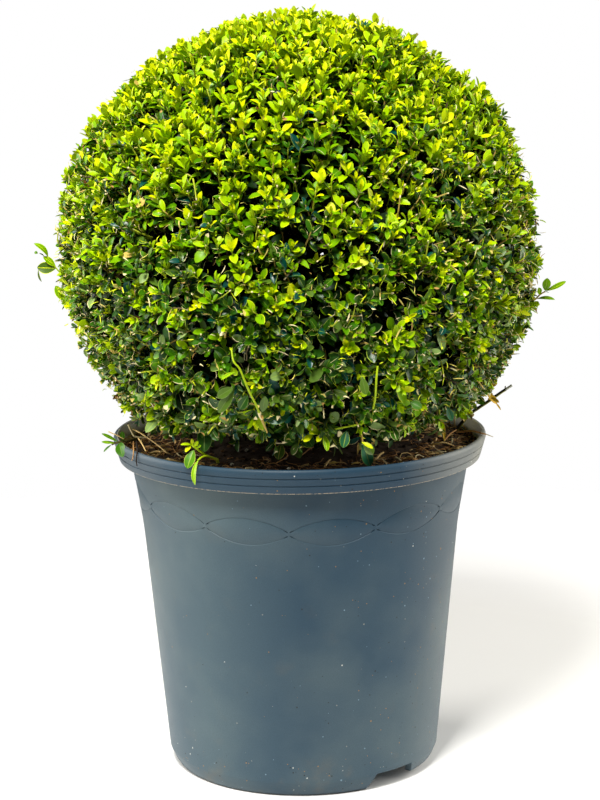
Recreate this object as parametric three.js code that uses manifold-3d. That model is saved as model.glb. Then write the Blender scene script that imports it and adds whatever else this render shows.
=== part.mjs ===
// A box topiary ball in its nursery pot: an evergreen shrub clipped into one dense ball of small
// leaves, on a short stem, in a round thin-walled plastic pot that is filled with potting mix.
// Millimetres, +Z up. The origin is on the ground at the centre of the pot's underside, and the
// front of the plant looks along -Y.

import * as THREE from "three";
import { mergeVertices } from "three/addons/utils/BufferGeometryUtils.js";
import Module from "manifold-3d";

const wasm = await Module();
wasm.setup();

// The pot: a tapered wall that flares under a plain rim band, on a chamfered foot ring
const RIM_DIAMETER = 330;
const POT_HEIGHT = 300;
const RIM_BAND = 21.5;
const BAND_TAPER = 2;
const BAND_SHOULDER = 1.5;
const LIP_ROUND = 1;
const LIP_WIDTH = 1.6;
const COLLAR_RADIUS = 150;
const BEND_RADIUS = 140.4;
const BEND_HEIGHT = 222;
const WALL_FOOT_RADIUS = 121;
const FOOT_DIAMETER = 227;
const FOOT_HEIGHT = 14;
const FOOT_CHAMFER = 4.4;
const FOOT_RING_WIDTH = 6;
const POT_WALL = 2.4;
const FLOOR_HEIGHT = 17;
const FLOOR_THICKNESS = 3;
const FLOOR_FILLET = 3;
const POT_SIDES = 56;

// The openings of the foot: a deep notch with a shallow lift beside it, on two opposite sides
const NOTCH_COUNT = 2;
const NOTCH_ANGLE = 41.5;
const NOTCH_HEIGHT = 15;
const NOTCH_TOP_WIDTH = 39;
const NOTCH_BOTTOM_WIDTH = 53;
const LIFT_ANGLE = 65;
const LIFT_HEIGHT = 5;
const LIFT_TOP_WIDTH = 44;
const LIFT_BOTTOM_WIDTH = 52;
const DRAIN_COUNT = 6;
const DRAIN_RADIUS = 7;
const DRAIN_CIRCLE = 82;

// The potting mix fills the pot to a little under the rim and rises in the middle
const FIT_GAP = 0.3;
const SOIL_EDGE_HEIGHT = 288;
const SOIL_SHOULDER_HEIGHT = 293;
const SOIL_CROWN_HEIGHT = 297;
const SOIL_FLAT_RADIUS = 34;

// The stem: short, a little leaning, flared where it meets the potting mix
const STEM_HEIGHT = 18;
const STEM_RADIUS = 13;
const FLARE_RADIUS = 25;
const STEM_LEAN = new THREE.Vector2(5, -3);
const FLARE_LOBES = 5;
const LOBE_DEPTH = 0.14;
const STEM_SIDES = 20;

// The ball of leaves: a dense core with leafy twigs standing out of it, clipped to one radius
const BALL_DIAMETER = 426;
const BALL_HEIGHT = 459;
const BALL_UNDERSIDE = 323;
const CORE_DEPTH = 32;
const CORE_SIDES = 30;
const CORE_RINGS = 13;
const CORE_LOWEST_ANGLE = 124;
const CORE_EDGE_ROUND = 6;
const CLIP_TOLERANCE = 4;
const TWIG_COUNT = 136;
const TWIG_LOWEST_ANGLE = 131;
const TWIG_SINK = 12;
const TWIG_RADIUS = 2.6;
const STALK_START = 0.2;
const HANGING_COUNT = 16;
const HANGING_RADIUS = 146;
const HANGING_LENGTH = 26;
const LEAF_LENGTH = 38;
const LEAF_WIDTH = 0.56;
const LEAF_THICKNESS = 1.7;
const LEAF_CLEARANCE = 18;
const PAIR_STEP = 0.3;
const TOP_PAIR_SPREAD = 38;
const LOWER_PAIR_SPREAD = 58;
const SPREAD_RANGE = 15;
const LEAN_RANGE = 0.5;
const RISE_TO_LIGHT = 0.3;
const RIM_CLEARANCE = 4;
const SEED = 20417;

// The low shoots beside the rim and the stub of an old one
const LOW_RADIUS = 1.6;
const STUB_RADIUS = 1.8;

const RIM_RADIUS = RIM_DIAMETER / 2;
const FOOT_RADIUS = FOOT_DIAMETER / 2;
const BALL_RADIUS = BALL_DIAMETER / 2;
const CORE_RADIUS = BALL_RADIUS - CORE_DEPTH;
const BALL_CENTRE = new THREE.Vector3(0, 0, BALL_HEIGHT);
const UP = new THREE.Vector3(0, 0, 1);

function point(x, y, z) {
  return new THREE.Vector3(x, y, z);
}

// A closed geometry as a solid: its shared corners are merged, so that only positions are left.
function solid(geometry) {
  const bare = geometry.clone();
  bare.deleteAttribute("normal");
  bare.deleteAttribute("uv");
  const merged = mergeVertices(bare, 1e-4);
  const mesh = new wasm.Mesh({
    numProp: 3,
    vertProperties: new Float32Array(merged.attributes.position.array),
    triVerts: new Uint32Array(merged.index.array),
  });
  return new wasm.Manifold(mesh);
}

// Joins many solids two by two, so that the work grows slowly with their number.
function joined(solids) {
  let row = solids;
  while (row.length > 1) {
    const next = [];
    for (let i = 0; i < row.length; i += 2) {
      next.push(i + 1 < row.length ? row[i].add(row[i + 1]) : row[i]);
    }
    row = next;
  }
  return row[0];
}

// The largest body of a join: loose scraps are dropped, and a hollow sealed by the join is filled.
function largestBody(whole) {
  const bodies = whole.decompose();
  return bodies.reduce((best, body) => (body.volume() > best.volume() ? body : best));
}

function geometryOf(body) {
  const mesh = body.getMesh();
  const positions = new THREE.BufferAttribute(new Float32Array(mesh.vertProperties), 3);
  const geometry = new THREE.BufferGeometry();
  geometry.setAttribute("position", positions);
  geometry.setIndex(new THREE.BufferAttribute(new Uint32Array(mesh.triVerts), 1));
  geometry.computeVertexNormals();
  return geometry;
}

// A profile of [radius, height] pairs turned about the upright axis.
function turned(profile, sides) {
  const points = profile.map(([radius, height]) => new THREE.Vector2(radius, height));
  return new THREE.LatheGeometry(points, sides).rotateX(Math.PI / 2);
}

// Moves a geometry that stands on the origin along +Y so that it starts at a point, runs along one
// direction and turns its +Z side to another.
function stoodAt(geometry, start, along, facing) {
  const y = along.clone().normalize();
  const x = y.clone().cross(facing).normalize();
  const z = x.clone().cross(y);
  const frame = new THREE.Matrix4().makeBasis(x, y, z).setPosition(start);
  return geometry.applyMatrix4(frame);
}

// Any direction square to the given one.
function squareTo(direction) {
  const helper = Math.abs(direction.z) < 0.9 ? UP : point(1, 0, 0);
  return helper.clone().cross(direction).normalize();
}

// A repeatable stream of numbers from 0 to 1.
function seededRandom(seed) {
  let state = seed >>> 0;
  return () => {
    state = (state + 0x6d2b79f5) >>> 0;
    let mixed = Math.imul(state ^ (state >>> 15), state | 1);
    mixed ^= mixed + Math.imul(mixed ^ (mixed >>> 7), mixed | 61);
    return ((mixed ^ (mixed >>> 14)) >>> 0) / 4294967296;
  };
}

// The pot

// Outside radius of the wall at a height between the foot and the collar.
function wallRadius(height) {
  if (height < BEND_HEIGHT) {
    const share = (height - FOOT_HEIGHT) / (BEND_HEIGHT - FOOT_HEIGHT);
    return THREE.MathUtils.lerp(WALL_FOOT_RADIUS, BEND_RADIUS, share);
  }
  const share = (height - BEND_HEIGHT) / (POT_HEIGHT - RIM_BAND - BEND_HEIGHT);
  return THREE.MathUtils.lerp(BEND_RADIUS, COLLAR_RADIUS, share);
}

const COLLAR_HEIGHT = POT_HEIGHT - RIM_BAND;
const FLOOR_TOP = FLOOR_HEIGHT + FLOOR_THICKNESS;
const FLOOR_INSIDE = wallRadius(FLOOR_TOP + FLOOR_FILLET) - POT_WALL;
const BAND_INSIDE = RIM_RADIUS - BAND_TAPER - POT_WALL;

function potProfile() {
  const foot = [
    [0, FLOOR_HEIGHT],
    [WALL_FOOT_RADIUS - 2 * POT_WALL, FLOOR_HEIGHT],
    [FOOT_RADIUS - FOOT_RING_WIDTH, 0],
    [FOOT_RADIUS, 0],
    [FOOT_RADIUS + FOOT_CHAMFER, FOOT_HEIGHT / 2],
  ];
  const outside = [
    [WALL_FOOT_RADIUS, FOOT_HEIGHT],
    [BEND_RADIUS, BEND_HEIGHT],
    [COLLAR_RADIUS, COLLAR_HEIGHT],
  ];
  const band = [
    [RIM_RADIUS - BAND_TAPER, COLLAR_HEIGHT],
    [RIM_RADIUS, POT_HEIGHT - 4 * LIP_ROUND],
    [RIM_RADIUS - 0.8 * LIP_ROUND, POT_HEIGHT - LIP_ROUND],
    [RIM_RADIUS - 1.8 * LIP_ROUND, POT_HEIGHT],
    [RIM_RADIUS - 1.8 * LIP_ROUND - LIP_WIDTH, POT_HEIGHT],
    [BAND_INSIDE, COLLAR_HEIGHT + POT_WALL + BAND_SHOULDER],
  ];
  const inside = [
    [COLLAR_RADIUS - POT_WALL, COLLAR_HEIGHT + POT_WALL],
    [BEND_RADIUS - POT_WALL, BEND_HEIGHT],
    [FLOOR_INSIDE, FLOOR_TOP + FLOOR_FILLET],
    [FLOOR_INSIDE - FLOOR_FILLET, FLOOR_TOP],
    [0, FLOOR_TOP],
  ];
  return [...foot, ...outside, ...band, ...inside];
}

// A wedge that cuts an arched opening through the foot ring, square to the radius.
function footCutter(angle, height, topWidth, bottomWidth) {
  const outline = new THREE.Shape();
  outline.moveTo(-bottomWidth / 2, -1);
  outline.lineTo(bottomWidth / 2, -1);
  outline.lineTo(topWidth / 2, height);
  outline.lineTo(-topWidth / 2, height);
  outline.closePath();
  const depth = 4 * (FOOT_RING_WIDTH + FOOT_CHAMFER);
  const wedge = new THREE.ExtrudeGeometry(outline, { depth, bevelEnabled: false });
  wedge.rotateX(Math.PI / 2);
  wedge.translate(0, -FOOT_RADIUS + depth / 2, 0);
  wedge.rotateZ(THREE.MathUtils.degToRad(angle));
  return solid(wedge);
}

function drainHole(index) {
  const angle = (index / DRAIN_COUNT) * 2 * Math.PI;
  const hole = new THREE.CylinderGeometry(DRAIN_RADIUS, DRAIN_RADIUS, 4 * FLOOR_THICKNESS, 12);
  hole.rotateX(Math.PI / 2);
  hole.translate(DRAIN_CIRCLE * Math.cos(angle), DRAIN_CIRCLE * Math.sin(angle), FLOOR_HEIGHT);
  return solid(hole);
}

function makePot() {
  const cutters = [];
  for (let i = 0; i < NOTCH_COUNT; i++) {
    const turn = (i * 360) / NOTCH_COUNT;
    cutters.push(footCutter(NOTCH_ANGLE + turn, NOTCH_HEIGHT, NOTCH_TOP_WIDTH, NOTCH_BOTTOM_WIDTH));
    cutters.push(footCutter(LIFT_ANGLE + turn, LIFT_HEIGHT, LIFT_TOP_WIDTH, LIFT_BOTTOM_WIDTH));
  }
  for (let i = 0; i < DRAIN_COUNT; i++) {
    cutters.push(drainHole(i));
  }
  return solid(turned(potProfile(), POT_SIDES)).subtract(joined(cutters));
}

// The potting mix

// The surface of the mix from the middle to the rim band, as [radius, height] pairs.
const SOIL_SURFACE = [
  [0, SOIL_CROWN_HEIGHT],
  [SOIL_FLAT_RADIUS, SOIL_CROWN_HEIGHT],
  [0.5 * RIM_RADIUS, SOIL_SHOULDER_HEIGHT],
  [0.78 * RIM_RADIUS, (SOIL_EDGE_HEIGHT + SOIL_SHOULDER_HEIGHT) / 2],
  [BAND_INSIDE - FIT_GAP, SOIL_EDGE_HEIGHT],
];

function soilHeight(radius) {
  const outer = SOIL_SURFACE.findIndex(([reach]) => reach >= radius);
  const [r0, z0] = SOIL_SURFACE[outer - 1];
  const [r1, z1] = SOIL_SURFACE[outer];
  return THREE.MathUtils.mapLinear(radius, r0, r1, z0, z1);
}

// Where the middle of a thin stem lies when the stem rests on the mix.
function onSoil(x, y, stemRadius) {
  return point(x, y, soilHeight(Math.hypot(x, y)) + FIT_GAP + stemRadius);
}

function makeSoil() {
  const gap = FIT_GAP;
  const profile = [
    [0, FLOOR_TOP + gap],
    [FLOOR_INSIDE - FLOOR_FILLET - gap, FLOOR_TOP + gap],
    [FLOOR_INSIDE - gap, FLOOR_TOP + FLOOR_FILLET + gap],
    [BEND_RADIUS - POT_WALL - gap, BEND_HEIGHT],
    [COLLAR_RADIUS - POT_WALL - gap, COLLAR_HEIGHT + POT_WALL + gap],
    [BAND_INSIDE - gap, COLLAR_HEIGHT + POT_WALL + BAND_SHOULDER + gap],
  ];
  return solid(turned([...profile, ...[...SOIL_SURFACE].reverse()], POT_SIDES));
}

// The stem

// The flat cut stands on the potting mix, and the stem leans a little towards its top.
const STEM_FOOT = SOIL_CROWN_HEIGHT + FIT_GAP;
const STEM_TOP = STEM_FOOT + STEM_HEIGHT;

function makeStem() {
  const profile = [[0, 0]];
  const steps = 6;
  for (let i = 0; i <= steps; i++) {
    const share = i / steps;
    const flare = (FLARE_RADIUS - STEM_RADIUS) * Math.pow(1 - share, 2.4);
    profile.push([STEM_RADIUS + flare, STEM_HEIGHT * share]);
  }
  profile.push([0, STEM_HEIGHT]);
  const stem = turned(profile, STEM_SIDES);
  const corners = stem.getAttribute("position");
  for (let i = 0; i < corners.count; i++) {
    const share = corners.getZ(i) / STEM_HEIGHT;
    const angle = Math.atan2(corners.getY(i), corners.getX(i));
    const lobe = 1 + LOBE_DEPTH * Math.pow(1 - share, 1.6) * Math.cos(FLARE_LOBES * angle);
    corners.setX(i, corners.getX(i) * lobe + STEM_LEAN.x * share);
    corners.setY(i, corners.getY(i) * lobe + STEM_LEAN.y * share);
    corners.setZ(i, corners.getZ(i) + STEM_FOOT);
  }
  return solid(stem);
}

// Twigs and leaves

// A leaf of six faces: its corners are the stalk, the tip, the two edges and the ridge of the
// midrib. The stalk starts inside the twig that carries it.
const LEAF_CORNERS = [0, -1, 0, 0, 1, 0, -1, 0, 0, 1, 0, 0, 0, 0, 1];
const LEAF_FACES = [0, 3, 4, 3, 1, 4, 1, 2, 4, 2, 0, 4, 0, 2, 3, 1, 3, 2];

function leaf(start, along, facing, length) {
  const blade = new THREE.PolyhedronGeometry(LEAF_CORNERS, LEAF_FACES, 1, 0);
  blade.scale((LEAF_WIDTH * length) / 2, length / 2, LEAF_THICKNESS);
  blade.translate(0, length / 2, 0);
  return solid(stoodAt(blade, start, along, facing));
}

// A three-sided twig that tapers from its root to its tip.
function twig(start, end, rootRadius, tipRadius) {
  const along = end.clone().sub(start);
  const rod = new THREE.CylinderGeometry(tipRadius, rootRadius, along.length(), 3);
  rod.translate(0, along.length() / 2, 0);
  return solid(stoodAt(rod, start, along, squareTo(along.clone().normalize())));
}

// A pair of leaves on opposite sides of a twig, spread away from it by an angle.
function leafPair(node, along, side, spread, length) {
  const leaves = [];
  for (const sign of [1, -1]) {
    const out = side.clone().multiplyScalar(sign);
    const direction = along.clone().multiplyScalar(Math.cos(spread));
    direction.addScaledVector(out, Math.sin(spread));
    const start = node.clone().addScaledVector(direction, STALK_START);
    const facing = along.clone().addScaledVector(direction, -along.dot(direction));
    leaves.push({ start, direction, facing, length });
  }
  return leaves;
}

// Whether a leaf's tip keeps to the ball's own space, clear of the pot's rim and the potting mix.
function inBallSpace(leafPlan) {
  const tip = leafPlan.start.clone().addScaledVector(leafPlan.direction, leafPlan.length);
  const reach = tip.distanceTo(BALL_CENTRE);
  const radius = Math.hypot(tip.x, tip.y);
  const aboveRim = tip.z > POT_HEIGHT + RIM_CLEARANCE;
  const insideRim = radius < BAND_INSIDE - 2 * RIM_CLEARANCE && tip.z > SOIL_CROWN_HEIGHT + 2;
  return reach < BALL_RADIUS + CLIP_TOLERANCE && (aboveRim || insideRim);
}

function middleOf(plan) {
  return plan.start.clone().addScaledVector(plan.direction, 0.6 * plan.length);
}

// One leafy twig: it starts inside the core and carries pairs of leaves that each turn a right
// angle from the pair above. A leaf that would cross one already grown is skipped.
function leafyTwig(root, tip, pairs, random, grown) {
  const along = tip.clone().sub(root).normalize();
  const side = squareTo(along).applyAxisAngle(along, random() * Math.PI);
  const solids = [twig(root, tip, TWIG_RADIUS, TWIG_RADIUS * 0.62)];
  const own = [];
  for (let i = 0; i < pairs; i++) {
    const node = root.clone().lerp(tip, 1 - PAIR_STEP * i).addScaledVector(along, -1.2);
    const leastSpread = i === 0 ? TOP_PAIR_SPREAD : LOWER_PAIR_SPREAD;
    const spread = THREE.MathUtils.degToRad(leastSpread + SPREAD_RANGE * random());
    const length = LEAF_LENGTH * (0.86 + 0.28 * random());
    for (const plan of leafPair(node, along, side, spread, length)) {
      const middle = middleOf(plan);
      const clear = grown.every((other) => other.distanceTo(middle) > LEAF_CLEARANCE);
      if (clear && inBallSpace(plan)) {
        solids.push(leaf(plan.start, plan.direction, plan.facing, plan.length));
        own.push(middle);
      }
    }
    side.applyAxisAngle(along, Math.PI / 2);
  }
  grown.push(...own);
  return solids;
}

// The ball of leaves

function coreProfile() {
  const profile = [
    [0, BALL_UNDERSIDE],
    [0.6 * CORE_RADIUS, BALL_UNDERSIDE],
    [0.73 * CORE_RADIUS, BALL_UNDERSIDE + CORE_EDGE_ROUND],
  ];
  for (let i = CORE_RINGS; i >= 0; i--) {
    const polar = THREE.MathUtils.degToRad((CORE_LOWEST_ANGLE * i) / CORE_RINGS);
    const radius = i === 0 ? 0 : CORE_RADIUS * Math.sin(polar);
    profile.push([radius, BALL_HEIGHT + CORE_RADIUS * Math.cos(polar)]);
  }
  return profile;
}

// The ball's own stem runs from the tip of the main stem up into the core.
function ballStem() {
  const foot = point(STEM_LEAN.x, STEM_LEAN.y, STEM_TOP + FIT_GAP);
  const head = point(STEM_LEAN.x, STEM_LEAN.y, BALL_UNDERSIDE + 20);
  const along = head.clone().sub(foot);
  const rod = new THREE.CylinderGeometry(STEM_RADIUS * 0.9, STEM_RADIUS, along.length(), 12);
  rod.translate(0, along.length() / 2, 0);
  return solid(stoodAt(rod, foot, along, point(1, 0, 0)));
}

// Twigs spread evenly over the ball by the golden angle, from its top down to its lower edge. The
// young ones at the top stand up, those at the lower edge hang a little.
function ballTwigs(random, grown) {
  const goldenAngle = Math.PI * (3 - Math.sqrt(5));
  const lowest = Math.cos(THREE.MathUtils.degToRad(TWIG_LOWEST_ANGLE));
  const solids = [];
  for (let i = 0; i < TWIG_COUNT; i++) {
    const rise = 1 - ((i + 0.5) / TWIG_COUNT) * (1 - lowest);
    const flat = Math.sqrt(1 - rise * rise);
    const turn = (i + 0.1 * (random() - 0.5)) * goldenAngle;
    const out = point(flat * Math.cos(turn), flat * Math.sin(turn), rise);
    const lean = point(random() - 0.5, random() - 0.5, random() - 0.5).multiplyScalar(LEAN_RANGE);
    const lift = RISE_TO_LIGHT * (rise + 0.35);
    const aim = out.clone().add(lean).addScaledVector(UP, lift).normalize();
    const root = BALL_CENTRE.clone().addScaledVector(out, CORE_RADIUS - TWIG_SINK);
    const reach = BALL_RADIUS - LEAF_LENGTH * (0.36 + 0.26 * random());
    const tip = root.clone().addScaledVector(aim, reach - CORE_RADIUS + TWIG_SINK);
    solids.push(...leafyTwig(root, tip, 2, random, grown));
  }
  return solids;
}

// Short twigs that hang from the ball's flat underside over the potting mix.
function hangingTwigs(random, grown) {
  const solids = [];
  for (let i = 0; i < HANGING_COUNT; i++) {
    const turn = ((i + 0.3 * random()) / HANGING_COUNT) * 2 * Math.PI;
    const radius = HANGING_RADIUS * (i % 2 === 0 ? 0.82 : 0.5);
    const root = point(radius * Math.cos(turn), radius * Math.sin(turn), BALL_UNDERSIDE + TWIG_SINK);
    const drop = HANGING_LENGTH * (0.72 + 0.28 * random());
    const swing = root.clone().setZ(0).normalize().multiplyScalar(0.35 * drop);
    const tip = root.clone().add(swing).addScaledVector(UP, -drop);
    solids.push(...leafyTwig(root, tip, 1, random, grown));
  }
  return solids;
}

// A young shoot that the shears missed: a thin bent stem out of the ball with leaves at its end.
function strayShoot(root, bend, tip, leafLength) {
  const along = tip.clone().sub(bend).normalize();
  const side = squareTo(along);
  const solids = [twig(root, bend, 2.2, 1.8), twig(bend, tip, 1.8, 1.2)];
  solids.push(twig(bend.clone().lerp(root, 0.1), bend.clone().lerp(tip, 0.1), 1.9, 1.9));
  const pairs = [
    leafPair(tip.clone().addScaledVector(along, -1), along, side, 0.5, leafLength),
    leafPair(bend, along, squareTo(along).cross(along), 1.1, 0.8 * leafLength),
  ];
  for (const plan of pairs.flat()) {
    solids.push(leaf(plan.start, plan.direction, plan.facing, plan.length));
  }
  return solids;
}

const STRAY_LEFT = [point(-CORE_RADIUS * 0.96, 0, 434), point(-219, 0, 446), point(-223, 0, 458)];
const STRAY_RIGHT = [point(CORE_RADIUS * 0.93, 0, 403), point(216, 0, 418), point(222, 0, 424)];

function makeBall() {
  const random = seededRandom(SEED);
  const solids = [solid(turned(coreProfile(), CORE_SIDES)), ballStem()];
  const grown = [];
  solids.push(...ballTwigs(random, grown));
  solids.push(...hangingTwigs(random, grown));
  solids.push(...strayShoot(...STRAY_LEFT, 14));
  solids.push(...strayShoot(...STRAY_RIGHT, 15));
  return largestBody(joined(solids));
}

// Low shoots over the pot's rim

// A thin bent stem out of the potting mix, made of straight lengths, with leaves along it.
function lowShoot(limbs, radius, leaves) {
  const solids = [];
  for (const limb of limbs) {
    for (let i = 0; i + 1 < limb.length; i++) {
      const along = limb[i + 1].clone().sub(limb[i]).normalize();
      const start = limb[i].clone().addScaledVector(along, i === 0 ? 0 : -radius);
      solids.push(twig(start, limb[i + 1], radius, radius * 0.9));
    }
  }
  for (const { node, direction, facing, length } of leaves) {
    const along = direction.clone().normalize();
    const start = node.clone().addScaledVector(along, -0.8 * radius);
    solids.push(leaf(start, along, facing, length));
  }
  return largestBody(joined(solids));
}

// The left shoot lies over the rim, with its leaves outside the pot.
function makeLowShootLeft() {
  const root = onSoil(-112, 66, LOW_RADIUS);
  const overRim = point(-153, 8, 306);
  const end = point(-170, -26, 306);
  const leaves = [
    { node: end, direction: point(-0.6, -0.7, 0.3), facing: UP, length: 15 },
    { node: end, direction: point(-0.9, 0.1, 0.1), facing: UP, length: 14 },
    { node: overRim, direction: point(-0.1, -0.9, 0.1), facing: UP, length: 16 },
    { node: overRim, direction: point(-0.7, 0.6, 0.4), facing: UP, length: 14 },
  ];
  return lowShoot([[root, point(-140, 34, 300), overRim, end]], LOW_RADIUS, leaves);
}

// The front shoot rises to a tuft of leaves, and one leaf bends over the rim and hangs there.
function makeLowShootFront() {
  const fork = point(-79, -124, 305);
  const tuft = point(-90, -129, 314);
  const overRim = point(-87, -146, 304);
  const stem = [onSoil(-70, -86, LOW_RADIUS), fork, tuft];
  const outward = point(-0.5, -0.85, 0.1);
  const leaves = [
    { node: tuft, direction: point(-0.7, 0.2, 0.7), facing: outward, length: 12 },
    { node: tuft, direction: point(0.3, -0.2, 0.8), facing: outward, length: 11 },
    { node: tuft, direction: point(-0.1, -0.9, -0.12), facing: UP, length: 18 },
    { node: overRim, direction: point(-0.05, -0.1, -1), facing: outward, length: 18 },
  ];
  return lowShoot([stem, [fork, overRim]], LOW_RADIUS, leaves);
}

// A bare stub of an old shoot beside the rim, cut across at its tip.
function makeCutStub() {
  const stub = [onSoil(141, 31, STUB_RADIUS), point(156, 30, 304), point(191.5, 30, 331)];
  return lowShoot([stub], STUB_RADIUS, []);
}

const COLOURS = {
  pot: { color: 0x4d606d, roughness: 0.5, metalness: 0 },
  soil: { color: 0x1d1712, roughness: 0.95, metalness: 0 },
  bark: { color: 0x6b5a3f, roughness: 0.85, metalness: 0 },
  leaves: { color: 0x5d8a24, roughness: 0.5, metalness: 0 },
  shoot: { color: 0x86a632, roughness: 0.55, metalness: 0 },
  stub: { color: 0x3a3b1c, roughness: 0.7, metalness: 0 },
};

function part(name, body, finish) {
  const mesh = new THREE.Mesh(geometryOf(body), new THREE.MeshStandardMaterial(COLOURS[finish]));
  mesh.name = name;
  return mesh;
}

const topiary = new THREE.Group();
topiary.add(part("pot", makePot(), "pot"));
topiary.add(part("potting_soil", makeSoil(), "soil"));
topiary.add(part("main_stem", makeStem(), "bark"));
topiary.add(part("foliage_ball", makeBall(), "leaves"));
topiary.add(part("low_shoot_left", makeLowShootLeft(), "shoot"));
topiary.add(part("low_shoot_front", makeLowShootFront(), "shoot"));
topiary.add(part("cut_stub_right", makeCutStub(), "stub"));

export default topiary;
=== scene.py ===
# A box topiary ball in its nursery pot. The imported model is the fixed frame: every piece below is
# made in millimetres from the same sizes as the solids, in the order the real plant is put
# together, and is turned into metres as it becomes a mesh.
import math

import bmesh
import bpy
import numpy as np
from mathutils import Matrix, Vector, noise


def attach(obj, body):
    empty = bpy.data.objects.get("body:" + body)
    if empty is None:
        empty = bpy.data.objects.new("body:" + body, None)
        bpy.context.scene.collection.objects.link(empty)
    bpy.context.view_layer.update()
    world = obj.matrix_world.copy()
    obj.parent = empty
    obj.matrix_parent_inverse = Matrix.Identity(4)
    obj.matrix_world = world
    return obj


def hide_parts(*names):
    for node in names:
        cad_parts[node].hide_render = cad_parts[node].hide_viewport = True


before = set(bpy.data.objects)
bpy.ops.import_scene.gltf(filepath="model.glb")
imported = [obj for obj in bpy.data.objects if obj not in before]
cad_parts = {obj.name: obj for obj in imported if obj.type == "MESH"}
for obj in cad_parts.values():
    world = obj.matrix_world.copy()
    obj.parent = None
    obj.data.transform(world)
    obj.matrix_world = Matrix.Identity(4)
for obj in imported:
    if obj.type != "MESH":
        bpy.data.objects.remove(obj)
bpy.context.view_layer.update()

# The view: a camera two metres in front of the pot and a little above the top of the ball, looking
# slightly down. It was fitted to the rim, the foot and the ball, and then raised a little.
CAMERA_PLACE = (0.0007, -2.0079, 0.716)
CAMERA_PITCH = 0.1914
CAMERA_ROLL = 0.013
LENS_LENGTH = 103.8
SENSOR_HEIGHT = 36


def put(name, data):
    """A new object in the scene."""
    made = bpy.data.objects.new(name, data)
    bpy.context.scene.collection.objects.link(made)
    return made


lens = bpy.data.cameras.new("camera")
lens.sensor_fit = "VERTICAL"
lens.sensor_height = SENSOR_HEIGHT
lens.lens = LENS_LENGTH
camera = put("camera", lens)
looking_down = Matrix.Rotation(math.pi / 2 - CAMERA_PITCH, 4, "X")
camera.matrix_world = Matrix.Translation(CAMERA_PLACE) @ looking_down @ Matrix.Rotation(-CAMERA_ROLL, 4, "Z")
bpy.context.scene.camera = camera
bpy.context.scene.view_settings.view_transform = "Standard"

# The pot: one blow-moulded shell of blue-grey polypropylene. It tapers to a low foot with two
# openings, carries a ring of twelve sunk lens shapes above its middle and has a grooved rim band.
MILLIMETRE = 0.001
RIM_RADIUS = 165.0
POT_HEIGHT = 300.0
COLLAR_HEIGHT = 278.5
COLLAR_RADIUS = 150.0
BEND_HEIGHT = 222.0
BEND_RADIUS = 140.4
WALL_FOOT_RADIUS = 121.0
WALL_STEPS = (30, 55, 85, 115, 145, 175, 200, 214, 219, BEND_HEIGHT, 224)
FOOT_RADIUS = 113.5
FOOT_HEIGHT = 14.0
FOOT_CHAMFER = 4.4
FOOT_RING_WIDTH = 6.0
POT_WALL = 2.4
FLOOR_HEIGHT = 17.0
FLOOR_TOP = 20.0
FLOOR_RINGS = (50, 66, 98)
BAND_INSIDE = 160.6
BAND_TAPER = 5.0
DRAIN_COUNT = 6
DRAIN_RADIUS = 7.0
DRAIN_CIRCLE = 82.0
NOTCHES = ((41.5, 15.0, 39.0, 53.0), (65.0, 5.0, 44.0, 52.0))
LENS_COUNT = 12
LENS_START = -4.0
LENS_MIDDLE = 240.5
LENS_RISE = 11.5
LENS_DROP = 10.5
LENS_SIDE_LIFT = 8.0
LENS_DEPTH = 0.22
LENS_GAP = 0.7
LENS_LINE = 0.12
UPPER_WALL_STEPS = (268, 270, 274, COLLAR_HEIGHT - 1.2)
GROOVES = (285.5, 292.0)
GROOVE_DEPTH = 0.7
GROOVE_SHAPE = ((-0.75, 0), (-0.3, GROOVE_DEPTH), (0.3, GROOVE_DEPTH), (0.75, 0))
LIP_PROFILE = [
    (RIM_RADIUS, 296), (164.9, 297.6), (164.4, 299), (163.5, 299.8), (162.4, POT_HEIGHT), (161.5, 299.7),
    (161.1, 299),
]
INSIDE_PROFILE = [
    (BAND_INSIDE, 283), (BAND_INSIDE - 1.2, 282), (COLLAR_RADIUS - POT_WALL, COLLAR_HEIGHT + POT_WALL),
    (BEND_RADIUS - POT_WALL, BEND_HEIGHT), (119.4, FLOOR_TOP + 3), (116.4, FLOOR_TOP),
]
INSIDE_PROFILE += [(radius, FLOOR_TOP) for radius in FLOOR_RINGS[::-1]]
TURN_STEP = 0.75
SHARP_FROM = 32

POT_COLOUR = "#294050"
POT_FADED = "#46565d"
POT_MUD = "#6e604c"
# Pale dust colour, also used as a painted sheen on the pot's flanks.
POT_DUST_AND_SHEEN = "#b4b1a2"
# Painted sheen: a light grey-green laid on the left flank of the wall.
POT_LEFT_SHEEN = "#84938f"
BAND_COLOUR = "#1a374c"
# Near white for the inside face of the rim: dust with painted light, which lifts it out of the shade under
# the ball.
RIM_INSIDE_DUST_AND_LIGHT = "#f4f2e8"
# Painted shade with wet soil: a dark line along the inner edge of the rim's top at the front.
LIP_SOIL_AND_SHADE = "#141e27"
LEDGE_CRUMBS = "#b3a48c"
SOLE_DIRT = "#241d16"
SPECKS = ((0.0, "#20211f"), (0.36, "#8a6a3c"), (0.64, "#7d7f78"), (0.8, "#6f8797"), (0.96, "#d7d6ce"))


def paint(hex_colour):
    """A colour written as on a paint card, as the light values that a shader takes."""
    parts = [int(hex_colour[i : i + 2], 16) / 255 for i in (1, 3, 5)]
    return tuple(p / 12.92 if p <= 0.04045 else ((p + 0.055) / 1.055) ** 2.4 for p in parts) + (1.0,)


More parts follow.
